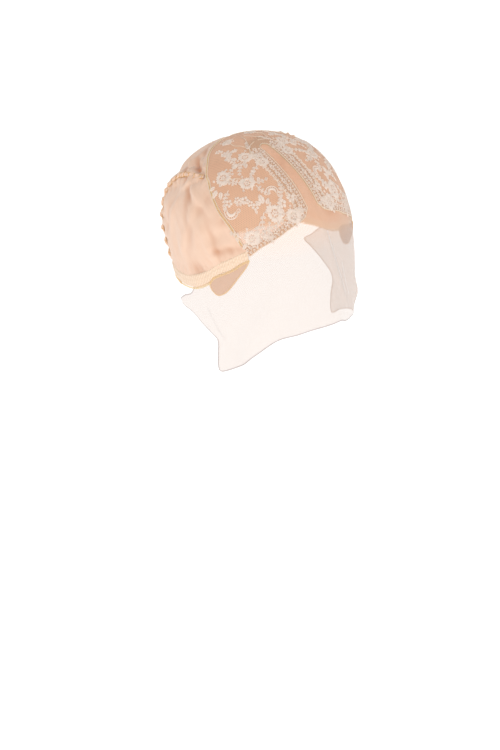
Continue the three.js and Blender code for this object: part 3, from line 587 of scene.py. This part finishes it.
def grid_faces(rows, columns, start=0, closed=False):
    """Quads over a grid of points, numbered row by row. closed joins each row's two ends."""
    faces = []
    for i in range(rows - 1):
        for j in range(columns if closed else columns - 1):
            a, b = start + i * columns + j, start + i * columns + (j + 1) % columns
            faces.append((a, b, b + columns, a + columns))
    return faces


def tube_faces(rings, sides, start=0):
    """The skin and both ends of a tube of rings of points."""
    last = start + (rings - 1) * sides
    ends = [tuple(range(start, start + sides))[::-1], tuple(range(last, last + sides))]
    return grid_faces(rings, sides, start, True) + ends


def turned_over(faces):
    """The same faces, seen from the other side."""
    return [(face[0], *face[:0:-1]) for face in faces]


def boundary(faces):
    """The edges that only one face has, in its direction."""
    have = {edge for face in faces for edge in zip(face, (*face[1:], face[0]))}
    return [(a, b) for a, b in have if (b, a) not in have]


def two_sided(faces, count):
    """Faces of a sheet, of its under side, whose points follow after count, and of its walls."""
    under = [tuple(corner + count for corner in face) for face in turned_over(faces)]
    return faces + under + [(a, a + count, b + count, b) for a, b in boundary(faces)]


def cloth(name, outline, centre, cell, low, high, material, fine=False):
    """A sheet of cloth on the form, in one layer where high is None. fine adds its creases,
    whose depth is also kept for painted shade in the cloth's colour.
    """
    lay, faces = flat_sheet(outline, cell)
    if high is None:
        return mesh_piece(name, worn(lay, centre, low), faces, material, lay)
    creased = puckers(*place_of(lay, centre).T) if fine else np.zeros(len(lay))
    points = np.concatenate([worn(lay, centre, height + creased) for height in (high, low)])
    faces = two_sided(faces, len(lay))
    return mesh_piece(name, points, faces, material, np.tile(lay, (2, 1)), np.tile(creased, 2))


def tube(paths, radius, sides=5):
    """Points and faces of closed tubes along paths of points."""
    points, faces = [], []
    ring = np.arange(sides) * 2 * math.pi / sides
    for path in paths:
        faces += tube_faces(len(path), sides, len(points) * sides)
        along = np.gradient(path, axis=0)
        along /= np.linalg.norm(along, axis=1, keepdims=True)
        side = np.cross(along[0], (0, 0, 1))
        if np.linalg.norm(side) < 0.1:
            side = np.cross(along[0], (0, 1, 0))
        for place, forward in zip(path, along):
            side = side - forward * side.dot(forward)
            side /= np.linalg.norm(side)
            up = np.cross(forward, side)
            around = np.outer(np.cos(ring), side) + np.outer(np.sin(ring), up)
            points.append(place + radius * around)
    return np.concatenate(points), faces


def even_line(line, step):
    """A line of points at even steps."""
    lengths = np.concatenate([[0], np.cumsum(np.linalg.norm(np.diff(line, axis=0), axis=1))])
    count = max(round(lengths[-1] / step), 2)
    places = np.linspace(0, lengths[-1], count + 1)
    return np.stack([np.interp(places, lengths, column) for column in line.T], axis=1)


def shifted(line, distance):
    """A flat line moved to its left by a distance."""
    along = np.gradient(line, axis=0)
    along /= np.linalg.norm(along, axis=1, keepdims=True)
    return line + np.stack([-along[:, 1], along[:, 0]], axis=1) * np.reshape(distance, (-1, 1))


def thread_path(line, centre, across, height):
    """A thread along a flat line, moved across it and over the form at each of its points."""
    return worn(shifted(line, across), centre, height)


def shown(color):
    """Shader values of a colour given as it shows, from 0 to 255. A socket stays as it is."""
    if isinstance(color, bpy.types.NodeSocket):
        return color
    shares = [value / 255 for value in color]
    return (*(v / 12.92 if v <= 0.04045 else ((v + 0.055) / 1.055) ** 2.4 for v in shares), 1)


class Look:
    """A material with short calls for its nodes. Its colours are given as they show."""

    def __init__(self, name, color, roughness, sheen=0.0):
        self.material = bpy.data.materials.new(name)
        self.material.use_nodes = True
        self.tree = self.material.node_tree
        self.shader = self.tree.nodes["Principled BSDF"]
        self.put(self.shader, {
            "Base Color": shown(color), "Roughness": roughness, "Specular IOR Level": 0.25,
            "Sheen Weight": sheen,
        })
        self.lay = self.node("Attribute", attribute_name="lay")["Vector"]

    def put(self, node, values):
        """Sets each input of a node to a value, or links it to another node's output."""
        for name, value in values.items():
            if isinstance(value, bpy.types.NodeSocket):
                self.tree.links.new(value, node.inputs[name])
            else:
                node.inputs[name].default_value = value

    def node(self, kind, values=None, **settings):
        """The outputs of a new node."""
        node = self.tree.nodes.new(f"ShaderNode{kind}")
        for name, value in settings.items():
            setattr(node, name, value)
        self.put(node, values or {})
        return node.outputs

    def math(self, operation, a, b=0.0, clamp=False):
        return self.node("Math", {0: a, 1: b}, operation=operation, use_clamp=clamp)[0]

    def along(self, direction):
        """How far a point of the flat cloth lies along a direction."""
        return self.node("VectorMath", {0: self.lay, 1: direction}, operation="DOT_PRODUCT")["Value"]

    def wave(self, degrees, pitch):
        """Ridges across the flat cloth, from 0 to 1."""
        turn, step = math.radians(degrees), 2 * math.pi / pitch
        place = self.along((math.cos(turn) * step, math.sin(turn) * step, 0))
        return self.math("ADD", self.math("MULTIPLY", self.math("SINE", place), 0.5), 0.5)

    def weave(self, *waves):
        """Ridges that cross, each given by its turn and pitch."""
        ridges = self.wave(*waves[0])
        for wave in waves[1:]:
            ridges = self.math("MULTIPLY", ridges, self.wave(*wave))
        return ridges

    def noise(self, scale, source=None, detail=2.0):
        values = {"Vector": source or self.lay, "Scale": scale, "Detail": detail}
        return self.node("TexNoise", values)["Fac"]

    def mix(self, share, low, high):
        values = {"Factor": share, 6: shown(low), 7: shown(high)}
        return self.node("Mix", values, data_type="RGBA")[2]

    def color(self, socket):
        self.put(self.shader, {"Base Color": socket})

    def bump(self, height, depth):
        values = {"Distance": depth * MM, "Strength": 1.0, "Height": height}
        self.put(self.shader, {"Normal": self.node("Bump", values)["Normal"]})


def stretch_look(name, pale, deep, crease_shade_color):
    """A fine stretch knit with slight tone changes and painted shade in its creases."""
    look = Look(name, pale, 0.82, 0.35)
    ribs = look.weave((35, 0.7), (-55, 0.7))
    patches = look.noise(0.09, detail=3.0)
    share = look.math("ADD", look.math("MULTIPLY", patches, 0.7), look.math("MULTIPLY", ribs, 0.25))
    # Painted shade: where the fine creases sink, the colour turns toward the darker crease colour
    crease_shade_depth = look.node("Attribute", attribute_name="crease_shade_depth")["Fac"]
    raised = look.math("ADD", look.math("MULTIPLY", crease_shade_depth, 0.3), 1.0, clamp=True)
    look.color(look.mix(raised, crease_shade_color, look.mix(share, deep, pale)))
    look.bump(ribs, 0.12)
    return look.material


def net_look(name, color, pitch, film, thread, upper=None):
    """A fine net of three crossing sets of threads over open ground. upper is its colour above
    UPPER_ARC, where it lies on the cap."""
    look = Look(name, color, 0.6, 0.2)
    if upper:
        above = look.math("ADD", look.along((0, 1, 0)), UPPER_ARC)
        look.color(look.mix(look.math("MULTIPLY", above, 1 / UPPER_FADE, clamp=True), color, upper))
    lines = [look.math("POWER", look.wave(degrees, pitch), 3.0) for degrees in (0, 60, 120)]
    crossed = look.math("MAXIMUM", look.math("MAXIMUM", lines[0], lines[1]), lines[2])
    open_net = look.math("ADD", look.math("MULTIPLY", crossed, thread), film, clamp=True)
    look.put(look.shader, {"Alpha": open_net})
    return look.material


def thread_look(name, pale, deep):
    """A thread with a fine grain."""
    look = Look(name, pale, 0.55, 0.2)
    grain = look.noise(900.0, look.node("TexCoord")["Object"])
    look.color(look.mix(grain, deep, pale))
    return look.material


def woven_look(name, pale, deep, roughness, sheen, depth, waves, figures=0.0):
    """Cloth with ridges across it, given by waves, and where figures is above 0 a soft figure."""
    look = Look(name, pale, roughness, sheen)
    weave = look.weave(*waves)
    if figures:
        patches = look.math("MULTIPLY", look.noise(0.5), figures)
        weave = look.math("ADD", weave, patches, clamp=True)
    look.color(look.mix(weave, deep, pale))
    look.bump(weave, depth)
    return look.material


# The third colour is painted shade, laid into the stretch fabric's fine creases
stretch = stretch_look("stretch_fabric", (250, 219, 197), (238, 200, 174), (206, 148, 112))
veil_net = net_look("sheer_net", (208, 188, 175), 0.9, 0.28, 0.34, (236, 194, 164))
veil_fold = net_look("folded_net", (236, 228, 224), 0.9, 0.3, 0.35)
veil_cut = net_look("net_cut_edge", (186, 170, 168), 0.9, 0.35, 0.35)
lace_net = net_look("lace_net", (228, 184, 153), 1.4, 0.56, 0.35)
tulle = net_look("tab_tulle", (214, 172, 142), 0.8, 0.55, 0.4)
gold = thread_look("gold_thread", (236, 190, 110), (206, 150, 70))
pale_cord = thread_look("pale_cord", (250, 238, 222), (236, 216, 192))
pale_gold = thread_look("pale_gold_thread", (252, 224, 168), (238, 200, 134))
lace_thread = woven_look(
    "lace_thread", (255, 243, 232), (248, 222, 204), 0.6, 0.3, 0.15, [(20, 0.55)],
)
tape = woven_look(
    "woven_tape", (228, 210, 180), (212, 190, 156), 0.8, 0.2, 0.12, [(90, 0.8), (0, 0.8)],
)
elastic = woven_look(
    "lace_elastic", (250, 226, 203), (232, 200, 170), 0.7, 0.3, 0.3, [(25, 2.2), (-25, 2.2)], 0.6,
)


# Lines of the pieces, on the wearer's left and mirrored for the right
def band_line(rows, angle):
    """How far from the crown an edge of the band lies."""
    return np.interp(angle, *smooth_line(rows).T)


def band_middle(angle):
    middle = (band_line(BAND_TOP, angle) + band_line(BAND_BOTTOM, angle)) / 2
    return np.stack([angle, middle], axis=1)


def parting_side():
    """Down one side of the parting strip, from its round rear end to the front corner."""
    turn = np.linspace(0, math.pi / 2, 9)
    x = PARTING_HALF_REAR * np.sin(turn)
    y = PARTING_START + PARTING_HALF_REAR * (1 - np.cos(turn))
    round_end = np.stack([np.degrees(np.arctan2(x, y)), np.hypot(x, y)], axis=1)
    end = PANEL_FRONT[0]["down"] * FORM_ARC
    first = PARTING_START + PARTING_HALF_REAR + OUTLINE_STEP
    arc = np.arange(first, end - CORNER_ROUND, OUTLINE_STEP)
    half = np.interp(arc, (PARTING_START, end), (PARTING_HALF_REAR, PARTING_HALF_FRONT))
    angle = np.degrees(np.arcsin(half / breadth_at(arc)))
    return np.concatenate([round_end, np.stack([angle, arc], axis=1)])


def crown_line(down):
    arc = np.arange(down * FORM_ARC, CROWN_TIP * FORM_ARC, -OUTLINE_STEP)
    line = np.stack([np.full(len(arc), 180.0), arc], axis=1)
    return np.concatenate([line, [(180, CROWN_TIP * FORM_ARC), (0, PARTING_START / 2)]])


def middle_line(low, high):
    """The middle of the hem band between two angles."""
    return band_middle(np.arange(low, high, 1.2))


FRONT_END = PANEL_FRONT[-1]["angle"]
GATHER_ANGLE = GATHER_SEAM[-1]["angle"]
gather_end = {"angle": GATHER_ANGLE, "down": band_middle(np.array([GATHER_ANGLE]))[0, 1] / FORM_ARC}
parting = parting_side()
front_edge = smooth_line(PANEL_FRONT)
lace_edge = smooth_line(LACE_SEAM)
side_edge = smooth_line(LACE_SEAM[GATHER_JOIN:])
crown_edge = smooth_line(LACE_SEAM[:GATHER_JOIN + 1])
gather_edge = smooth_line(GATHER_SEAM[:-1] + [gather_end])


def right(line, centre):
    """A line of the wearer's left as flat points of the right side."""
    return flat(line * (-1, 1), -centre)


def right_lines(centre, *lines):
    return [right(line, centre) for line in lines]


def ready(piece, slot, *nodes):
    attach(piece, "root")
    if nodes:
        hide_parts(*nodes)
    return piece


def both_sides(piece, slot, node=None):
    """Readies a piece of the right side and makes the left one from it."""
    stem = piece.name.removesuffix("_right")
    pair = []
    for side, part in (("right", piece), ("left", mirror_piece(piece, f"{stem}_left"))):
        nodes = [f"{node}_{side}"] if node else []
        pair.append(ready(part, slot, *nodes))
    return pair


# The sheer net: the parting strip, the front edge and the veil in one sheet
join = middle_line(FRONT_END, VEIL_EDGE[-1]["angle"])
side_line = flat(np.concatenate([parting, front_edge, join]), 0)
free_edge = flat(smooth_line(VEIL_EDGE), 0)
net_outline = closed_outline(side_line, free_edge[::-1], side_line[::-1] * (-1, 1))
front_net = cloth("front_net", net_outline, 0, VEIL_CELL, NET_HEIGHT, None, veil_net)
ready(front_net, "sheer_net", "front_lace")


def ribbons(name, lines, width, height, material):
    """Narrow strips of the net along flat lines about the middle of the front."""
    lay, faces, count = [], [], 0
    for line in lines:
        lay += [shifted(line, width / 2), shifted(line, -width / 2)]
        faces += turned_over(grid_faces(2, len(line), count))
        count += 2 * len(line)
    lay = np.concatenate(lay)
    return ready(mesh_piece(name, worn(lay, 0, height), faces, material, lay), "sheer_net")


crease_lines = [even_line(flat(smooth_line(line), 0), 2.0) for line in VEIL_CREASES]
veil_creases = ribbons("veil_creases", crease_lines, CREASE_WIDTH, NET_HEIGHT + 0.3, veil_fold)
veil_rim = even_line(shifted(free_edge, RIM_WIDTH / 2), 2.0)
veil_hem = ribbons("veil_cut_edge", [veil_rim], RIM_WIDTH, NET_HEIGHT + 0.2, veil_cut)

hem_middle = middle_line(FRONT_END, GATHER_ANGLE)
side_outline = closed_outline(*right_lines(SIDE_CENTRE, side_edge, hem_middle, gather_edge[::-1]))
side_cloth = cloth(
    "side_cloth_right", side_outline, -SIDE_CENTRE, CLOTH_CELL, INNER, CLOTH_TOP, stretch, True,
)
side_cloths = both_sides(side_cloth, "stretch_fabric", "side_panel")

half = np.concatenate([middle_line(GATHER_ANGLE, 180)[::-1], gather_edge[::-1], crown_edge[::-1]])
left_half = flat(half, 180)
back_outline = closed_outline(left_half, left_half[::-1] * (-1, 1))
back_cloth = cloth("back_cloth", back_outline, 180, CLOTH_CELL, INNER, CLOTH_TOP, stretch, True)
ready(back_cloth, "stretch_fabric", "back_panel")

tape_outline = closed_outline(*right_lines(
    LACE_CENTRE, crown_line(TAPE_INSIDE[0]["down"]), parting, front_edge, lace_edge[-1:],
    smooth_line(TAPE_INSIDE)[::-1],
))
tape_cloth = cloth("tape_right", tape_outline, -LACE_CENTRE, LACE_CELL, INNER, TAPE_HEIGHT, tape)
tapes = both_sides(tape_cloth, "edge_tape", "edge_tape")

# The lace panels: a fine net ground with motifs worked on it
seam = right(smooth_line(LACE_SEAM[:-2]), LACE_CENTRE)
ground_lines = right_lines(
    LACE_CENTRE, crown_line(LACE_SEAM[0]["down"]), parting, front_edge,
    smooth_line(LACE_SEAM[-2:])[::-1],
)
ground_outline = closed_outline(*ground_lines, shifted(seam, -SEAM_LAP)[::-1])
ground = cloth(
    "lace_ground_right", ground_outline, -LACE_CENTRE, LACE_CELL, LACE_HEIGHT, None, lace_net,
)
grounds = both_sides(ground, "floral_lace", "floral_panel")


class Needlework:
    """Raised shapes worked on the lace, gathered into one mesh."""

    def __init__(self):
        self.places, self.faces, self.lay, self.count = [], [], [], 0

    def quilt(self, first, second, at, high=PETAL_RISE):
        """A raised shape between two lines of points. at maps flat points to the form."""
        shares = (0.0, 0.22, 0.78, 1.0)
        grid = np.stack([first + (second - first) * share for share in shares], axis=1)
        height = np.full(grid.shape[:2], high)
        height[:, [0, -1]] = height[[0, -1]] = STITCH_FOOT
        local = grid.reshape(-1, 2)
        self.places.append(np.column_stack([at(local), height.ravel()]))
        self.lay.append(local)
        self.faces += grid_faces(*grid.shape[:2], self.count)
        self.count += len(local)

    def piece(self, name, material):
        angle, arc, height = np.concatenate(self.places).T
        points = surface(angle, arc, LACE_HEIGHT + height)
        return mesh_piece(name, points, self.faces, material, np.concatenate(self.lay))


def spot(angle, arc, turn=0.0):
    """A map from flat millimetres about a place on the form, turned, to places on the form."""
    def at(points):
        x, y = rotate(points, math.radians(turn)).T
        down = arc - y
        return np.column_stack([angle + np.degrees(x / ring_radius(down)), down])

    return at


def polar(radius, turn):
    return np.stack([radius * np.cos(turn), radius * np.sin(turn)], axis=1)


def petal(work, at, inner, outer, turn, half, teeth):
    """One petal with a toothed rim, between two radii."""
    sweep = np.linspace(-half, half, 4 * teeth + 1)
    share = sweep / half
    rim = outer * (0.92 + 0.08 * np.cos(share * math.pi * teeth)) * (1 - 0.16 * share**4)
    base = np.full(len(sweep), inner)
    work.quilt(polar(base, sweep * 0.85 + turn), polar(rim, sweep + turn), at)


def rose(work, at, size):
    """An open flower: toothed petals, a ring of small holes and a worked heart."""
    for i in range(6):
        reach = size * (1 + 0.13 * math.cos(2.4 * i + size))
        petal(work, at, size * 0.42, reach, i * math.pi / 3, math.pi / 5.7, 3)
        outside = rotate(np.array([[0, reach * 0.9]]), i * math.pi / 3)[0]
        leaf(work, at, size * 0.34, size * 0.3, outside, i * math.pi / 3 + 0.2)
    for i in range(8):
        tie = polar(np.array([0.3, 0.38, 0.46]) * size, np.full(3, i * math.pi / 4))
        stem(work, at, tie, 0.6)
    for i in range(5):
        petal(work, at, size * 0.05, size * 0.33, i * math.pi / 2.5 + 0.3, math.pi / 5.1, 1)


def leaf(work, at, length, width=None, root=(0, 0), turn=0.0):
    """A toothed leaf in two halves beside a vein."""
    width = width or length * 0.55
    along = np.linspace(0, 1, 9)
    bulge = np.sin(math.pi * along**0.8) * (1 + 0.14 * np.cos(along * math.pi * 8))
    for side in (-1, 1):
        vein = np.stack([np.full(9, side * 0.08), along * length], axis=1)
        rim = np.stack([side * (0.1 + bulge * width / 2), along * length], axis=1)
        pair = (rim, vein) if side < 0 else (vein, rim)
        work.quilt(*[rotate(line, turn) + root for line in pair], at)


def rotate(points, turn):
    cosine, sine = math.cos(turn), math.sin(turn)
    return points @ np.array([[cosine, sine], [-sine, cosine]])


def stem(work, at, line, width=0.8):
    half = width / 2 * np.linspace(1.2, 0.8, len(line))
    work.quilt(shifted(line, half), shifted(line, -half), at, STEM_RISE)


def spray(work, at, length):
    """A curved stem with small leaves in pairs."""
    t = np.linspace(0, 1, 9)
    line = np.stack([length * 0.22 * np.sin(t * 2.2), length * t], axis=1)
    stem(work, at, line)
    pairs = max(round(length / 3.1), 2)
    for i in range(1, pairs + 1):
        share = i / pairs
        root = (length * 0.22 * math.sin(share * 2.2), length * share)
        small = 3.3 - 0.9 * share
        for side in (-1, 1):
            leaf(work, at, small, small * 0.6, root, side * (1.15 - 0.35 * share))
    leaf(work, at, 2.8, 1.7, line[-1], 0.1)


def crescent(work, at, size):
    """A scroll: a toothed crescent inside a fine open arc."""
    sweep = np.linspace(-2.0, 1.4, 19)
    share = (sweep + 2.0) / 3.4
    swell = np.sin(math.pi * share) ** 0.7
    inner = size * (0.6 - 0.22 * swell)
    teeth = 1 + 0.07 * np.cos(share * math.pi * 14)
    work.quilt(polar(inner, sweep), polar(inner + size * 0.38 * swell * teeth + 0.1, sweep), at)
    arc = polar(np.full(19, size), sweep)
    work.quilt(polar(np.full(19, size - 0.45), sweep), polar(np.full(19, size + 0.4), sweep), at)
    for i in range(2, 17, 2):
        stem(work, at, np.stack([arc[i] * 0.8, arc[i] * 0.88, arc[i]]), 0.5)
    for end in (arc[0], arc[-1]):
        ring = polar(np.full(8, size * 0.24), np.linspace(0, 2 * math.pi, 8)) + end
        stem(work, at, ring, 0.7)


def bud(work, at, size):
    """A small worked ring."""
    for start in (0, math.pi):
        sweep = np.linspace(start, start + math.pi * 1.02, 7)
        work.quilt(polar(np.full(7, size * 0.35), sweep), polar(np.full(7, size), sweep), at)


def daisy(work, at, size):
    """A small flower of five petals round a hole."""
    for i in range(5):
        petal(work, at, size * 0.25, size, i * math.pi / 2.5, math.pi / 5.6, 1)


KINDS = {
    "rose": rose, "leaf": leaf, "spray": spray, "crescent": crescent, "bud": bud, "daisy": daisy,
}


def border(work):
    """The worked edge of the lace: two rows of rings, flowers between them and wavy threads."""
    edge = right(np.concatenate([parting[BORDER_START:], front_edge]), LACE_CENTRE)
    edge = even_line(edge, RING_PITCH / 4)
    for share in (0.22, 0.88):
        for place in panel_chart(shifted(edge, -BORDER_WIDTH * share))[2::4]:
            bud(work, spot(*place), RING_SIZE)
    middle = panel_chart(shifted(edge, -BORDER_WIDTH * 0.55))
    for i, place in enumerate(middle[:-2:4]):
        if i % 3 == 0:
            daisy(work, spot(*place, 160.0 * i + 80), RING_SIZE * 2.1)
        else:
            bud(work, spot(*place), RING_SIZE * 1.1)
    swing = 0.1 * np.sin(np.arange(len(edge)) * math.pi / 4)
    for share in (0.4, 1.0):
        wavy = shifted(edge, -BORDER_WIDTH * (share + swing))
        sides = [shifted(wavy, half) for half in (0.2, -0.2)]
        for start in range(0, len(edge) - 1, 24):
            work.quilt(*[side[start:start + 25] for side in sides], panel_chart, WAVE_RISE)


def panel_chart(points):
    return place_of(points, -LACE_CENTRE)


def floral_work():
    work = Needlework()
    for kind, rows in MOTIFS.items():
        for angle, down, size, turn in rows:
            KINDS[kind](work, spot(angle, down * FORM_ARC, turn), size)
    border(work)
    return work


motifs = both_sides(floral_work().piece("lace_motifs_right", lace_thread), "floral_lace")


# Hem band, ear tabs and stitching
def band_strip(name, low, high, centre, sign):
    """The elastic lace band between two angles, ribbed across and corded along."""
    number = np.arange(round((high - low) / BAND_STEP))
    angle = np.linspace(low, high, len(number))
    top, bottom = band_line(BAND_TOP, angle), band_line(BAND_BOTTOM, angle)
    gathers = np.sin(number * 2 * math.pi / 26 + 2 * np.sin(number / 31))
    upper, under, lay = [], [], []
    for share in np.linspace(0, 1, BAND_ROWS):
        arc = top + (bottom - top) * share
        cords = math.exp(-((share - 0.5) / 0.06) ** 2) + math.exp(-((share - 0.14) / 0.05) ** 2)
        edge = min(share / 0.11, (1 - share) / 0.11, 1)
        ribs = 0.5 + 0.5 * np.cos(number * math.pi / 2 + share * 9)
        raised = BAND_RISE * (0.55 + 0.25 * ribs + 0.45 * cords)
        height = CLOTH_TOP - 0.3 + edge * (0.4 + raised) + 0.15 * gathers
        upper.append(surface(sign * angle, arc, height))
        under.append(surface(sign * angle, arc, CLOTH_TOP - 0.6))
        lay.append(flat(np.stack([sign * angle, arc], axis=1), centre))
    faces = grid_faces(BAND_ROWS, len(number))
    if sign > 0:
        faces = turned_over(faces)
    faces = two_sided(faces, BAND_ROWS * len(number))
    return mesh_piece(name, np.concatenate(upper + under), faces, elastic, np.concatenate(lay * 2))


band = band_strip("elastic_band_right", BAND_FRONT, GATHER_ANGLE, -SIDE_CENTRE, -1)
bands = both_sides(band, "lace_elastic", "hem_band")
nape_band = band_strip("elastic_band_nape", GATHER_ANGLE, 360 - GATHER_ANGLE, 180, 1)
ready(nape_band, "lace_elastic", "hem_band_nape")


def threads(name, paths, radius, material, slot="overlock_seam"):
    """Round threads along paths, on both sides of the cap."""
    return both_sides(mesh_piece(name, *tube(paths, radius), material), slot)


# Ear tabs: sheer tulle lobes with a bound edge
tab_lobe = right(smooth_line(EAR_TAB), SIDE_CENTRE)
tab_reach = [row for row in BAND_BOTTOM if row["angle"] <= EAR_TAB[0]["angle"]]
tab_outline = closed_outline(tab_lobe, right(smooth_line(tab_reach), SIDE_CENTRE))
tab = cloth("tulle_tab_right", tab_outline, -SIDE_CENTRE, LACE_CELL, TAB_HEIGHT, None, tulle)
tabs = both_sides(tab, "tulle", "ear_tab")
tab_rim = thread_path(even_line(shifted(tab_lobe, 0.5), 0.8), -SIDE_CENTRE, 0, TAB_HEIGHT)
tab_binding = threads("tab_binding_right", [tab_rim], 0.24, pale_gold)


def overlock(line, centre, width, height, pitch):
    """Overlock threads along a flat line: a zigzag between two edge threads."""
    fine = even_line(line, pitch / 4)
    number = np.arange(len(fine))
    wave = np.sin(number * math.pi / 2)
    zigzag = thread_path(fine, centre, wave * width / 2, height + 0.25 * (1 - np.abs(wave)))
    edges = [thread_path(fine, centre, side * width / 2, height) for side in (-1, 1)]
    return [zigzag, *edges]


def gather_ruffle():
    """The ruffled ridge of the gathered seam and the paths of the thread that wraps it."""
    line = even_line(right(gather_edge, SIDE_CENTRE), RUFFLE_STEP)
    lowest = band_line(BAND_TOP, GATHER_ANGLE) - GATHER_WIDTH / 2
    line = line[-line[:, 1] < lowest][round((SEAM_LAP + GATHER_WIDTH / 2) / RUFFLE_STEP):]
    count = len(line)
    number = np.arange(count)
    phase = 2 * math.pi * number * RUFFLE_STEP / GATHER_PITCH
    scallop = 0.5 + 0.42 * np.cos(phase) + 0.08 * np.cos(phase * 2.3 + 1)
    ends = np.minimum(np.minimum(number, count - 1 - number) / 10, 1)
    crest = GATHER_HEIGHT * (0.1 + scallop) * (0.4 + 0.6 * ends)
    swing = GATHER_WIDTH * 0.3 * np.sin(phase)
    shape = [(-0.5, 0.0), (-0.44, 0.35), (-0.3, 0.7), (-0.14, 0.95), (0.0, 1.0), (0.14, 0.93),
             (0.3, 0.68), (0.44, 0.3), (0.5, 0.0)]
    rows = [
        thread_path(line, -SIDE_CENTRE, across * GATHER_WIDTH + swing * up, 1.0 + up * crest)
        for across, up in shape
    ]
    points = np.stack(rows, axis=1)
    width = len(shape)
    wraps = [points[:, 7] + (points[:, 7] - points[:, 4]) * 0.06, points[:, 1]]
    for i in range(2, count - 3, 9):
        ring = np.array([points[i + round(2 * k / (width - 1)), k] for k in range(width)])
        outward = ring - points[i].mean(axis=0)
        wraps.append(ring + outward / np.linalg.norm(outward, axis=1, keepdims=True) * 0.15)
    lay = np.stack([np.repeat(number * RUFFLE_STEP, width), np.tile(np.arange(width) * 0.8, count)], 1)
    faces = tube_faces(count, width)
    return mesh_piece("gather_ruffle_right", points.reshape(-1, 3), faces, stretch, lay), wraps


ruffle, wraps = gather_ruffle()
both_sides(ruffle, "overlock_seam", "gather_seam")
threads("gather_thread_right", wraps, 0.22, gold)

# Cords along the panel's edges, its seam and the crown
panel_edge = even_line(right(np.concatenate([parting, front_edge]), LACE_CENTRE), CORD_STEP)
seam_cut = shifted(seam, -SEAM_LAP * 0.6)
seam_middle = even_line(seam_cut, CORD_STEP)
cords = [
    thread_path(line, -LACE_CENTRE, across, LACE_HEIGHT + rise)
    for line, across, rise in (
        (panel_edge, -0.4, 0.15), (panel_edge, -BORDER_WIDTH, 0.15), (seam_middle, -1.3, 0),
        (seam_middle, 1.0, 0),
    )
]
for line in CROWN_LINES:
    path = even_line(smooth_line(line, CORD_STEP), CORD_STEP)
    cords.append(surface(*path.T, LACE_HEIGHT + 0.35))
threads("edge_cord_right", cords, 0.32, pale_cord, "floral_lace")

seam_thread = overlock(seam_cut, -LACE_CENTRE, 0.9, LACE_HEIGHT + 0.1, 2.2)
threads("seam_thread_right", seam_thread, 0.13, pale_gold)
hem_line = shifted(right(smooth_line(BAND_BOTTOM), SIDE_CENTRE), 0.7)
hem_thread = overlock(hem_line, -SIDE_CENTRE, 1.2, CLOTH_TOP + 0.35, 2.4)
threads("hem_thread_right", hem_thread, 0.2, pale_gold)

# Floor, light and camera
bpy.ops.mesh.primitive_plane_add(size=16, location=(0, 0, -FLOOR_DEPTH))
floor = bpy.context.object
floor.name = "floor"
white = Look("floor_white", (249.3, 249.3, 249.3), 0.9)
white.put(white.shader, {"Emission Color": (1, 1, 1, 1), "Emission Strength": 0.55})
floor.data.materials.append(white.material)

world = bpy.data.worlds.new("studio")
bpy.context.scene.world = world
world.use_nodes = True
background = world.node_tree.nodes["Background"]
background.inputs["Color"].default_value = (1.0, 0.985, 0.97, 1)
background.inputs["Strength"].default_value = 0.61


def area_light(name, place, size, power):
    """A warm white lamp that faces the cap."""
    light = bpy.data.lights.new(name, "AREA")
    light.size = size
    light.energy = power
    light.color = (1.0, 0.98, 0.96)
    lamp = linked(name, light)
    lamp.location = place
    lamp.rotation_euler = (-Vector(place)).to_track_quat("-Z", "Y").to_euler()


area_light("key", (-2.2, -1.6, 1.8), 1.2, 33)
area_light("fill", (1.6, -2.2, 1.0), 2.0, 10)


def turned(degrees, axis):
    return Matrix.Rotation(math.radians(degrees), 4, axis)


camera_data = bpy.data.cameras.new("camera")
camera_data.sensor_fit = "AUTO"
camera_data.sensor_width = 36
camera_data.lens = LENS
camera = linked("camera", camera_data)
orbit = turned(AZIMUTH, "Z") @ turned(90 - ELEVATION, "X")
aim = turned(ROLL, "Z") @ turned(-PITCH, "X") @ turned(YAW, "Y")
camera.matrix_world = orbit @ Matrix.Translation((0, 0, DISTANCE)) @ aim
bpy.context.scene.camera = camera
bpy.context.scene.view_settings.view_transform = "Standard"
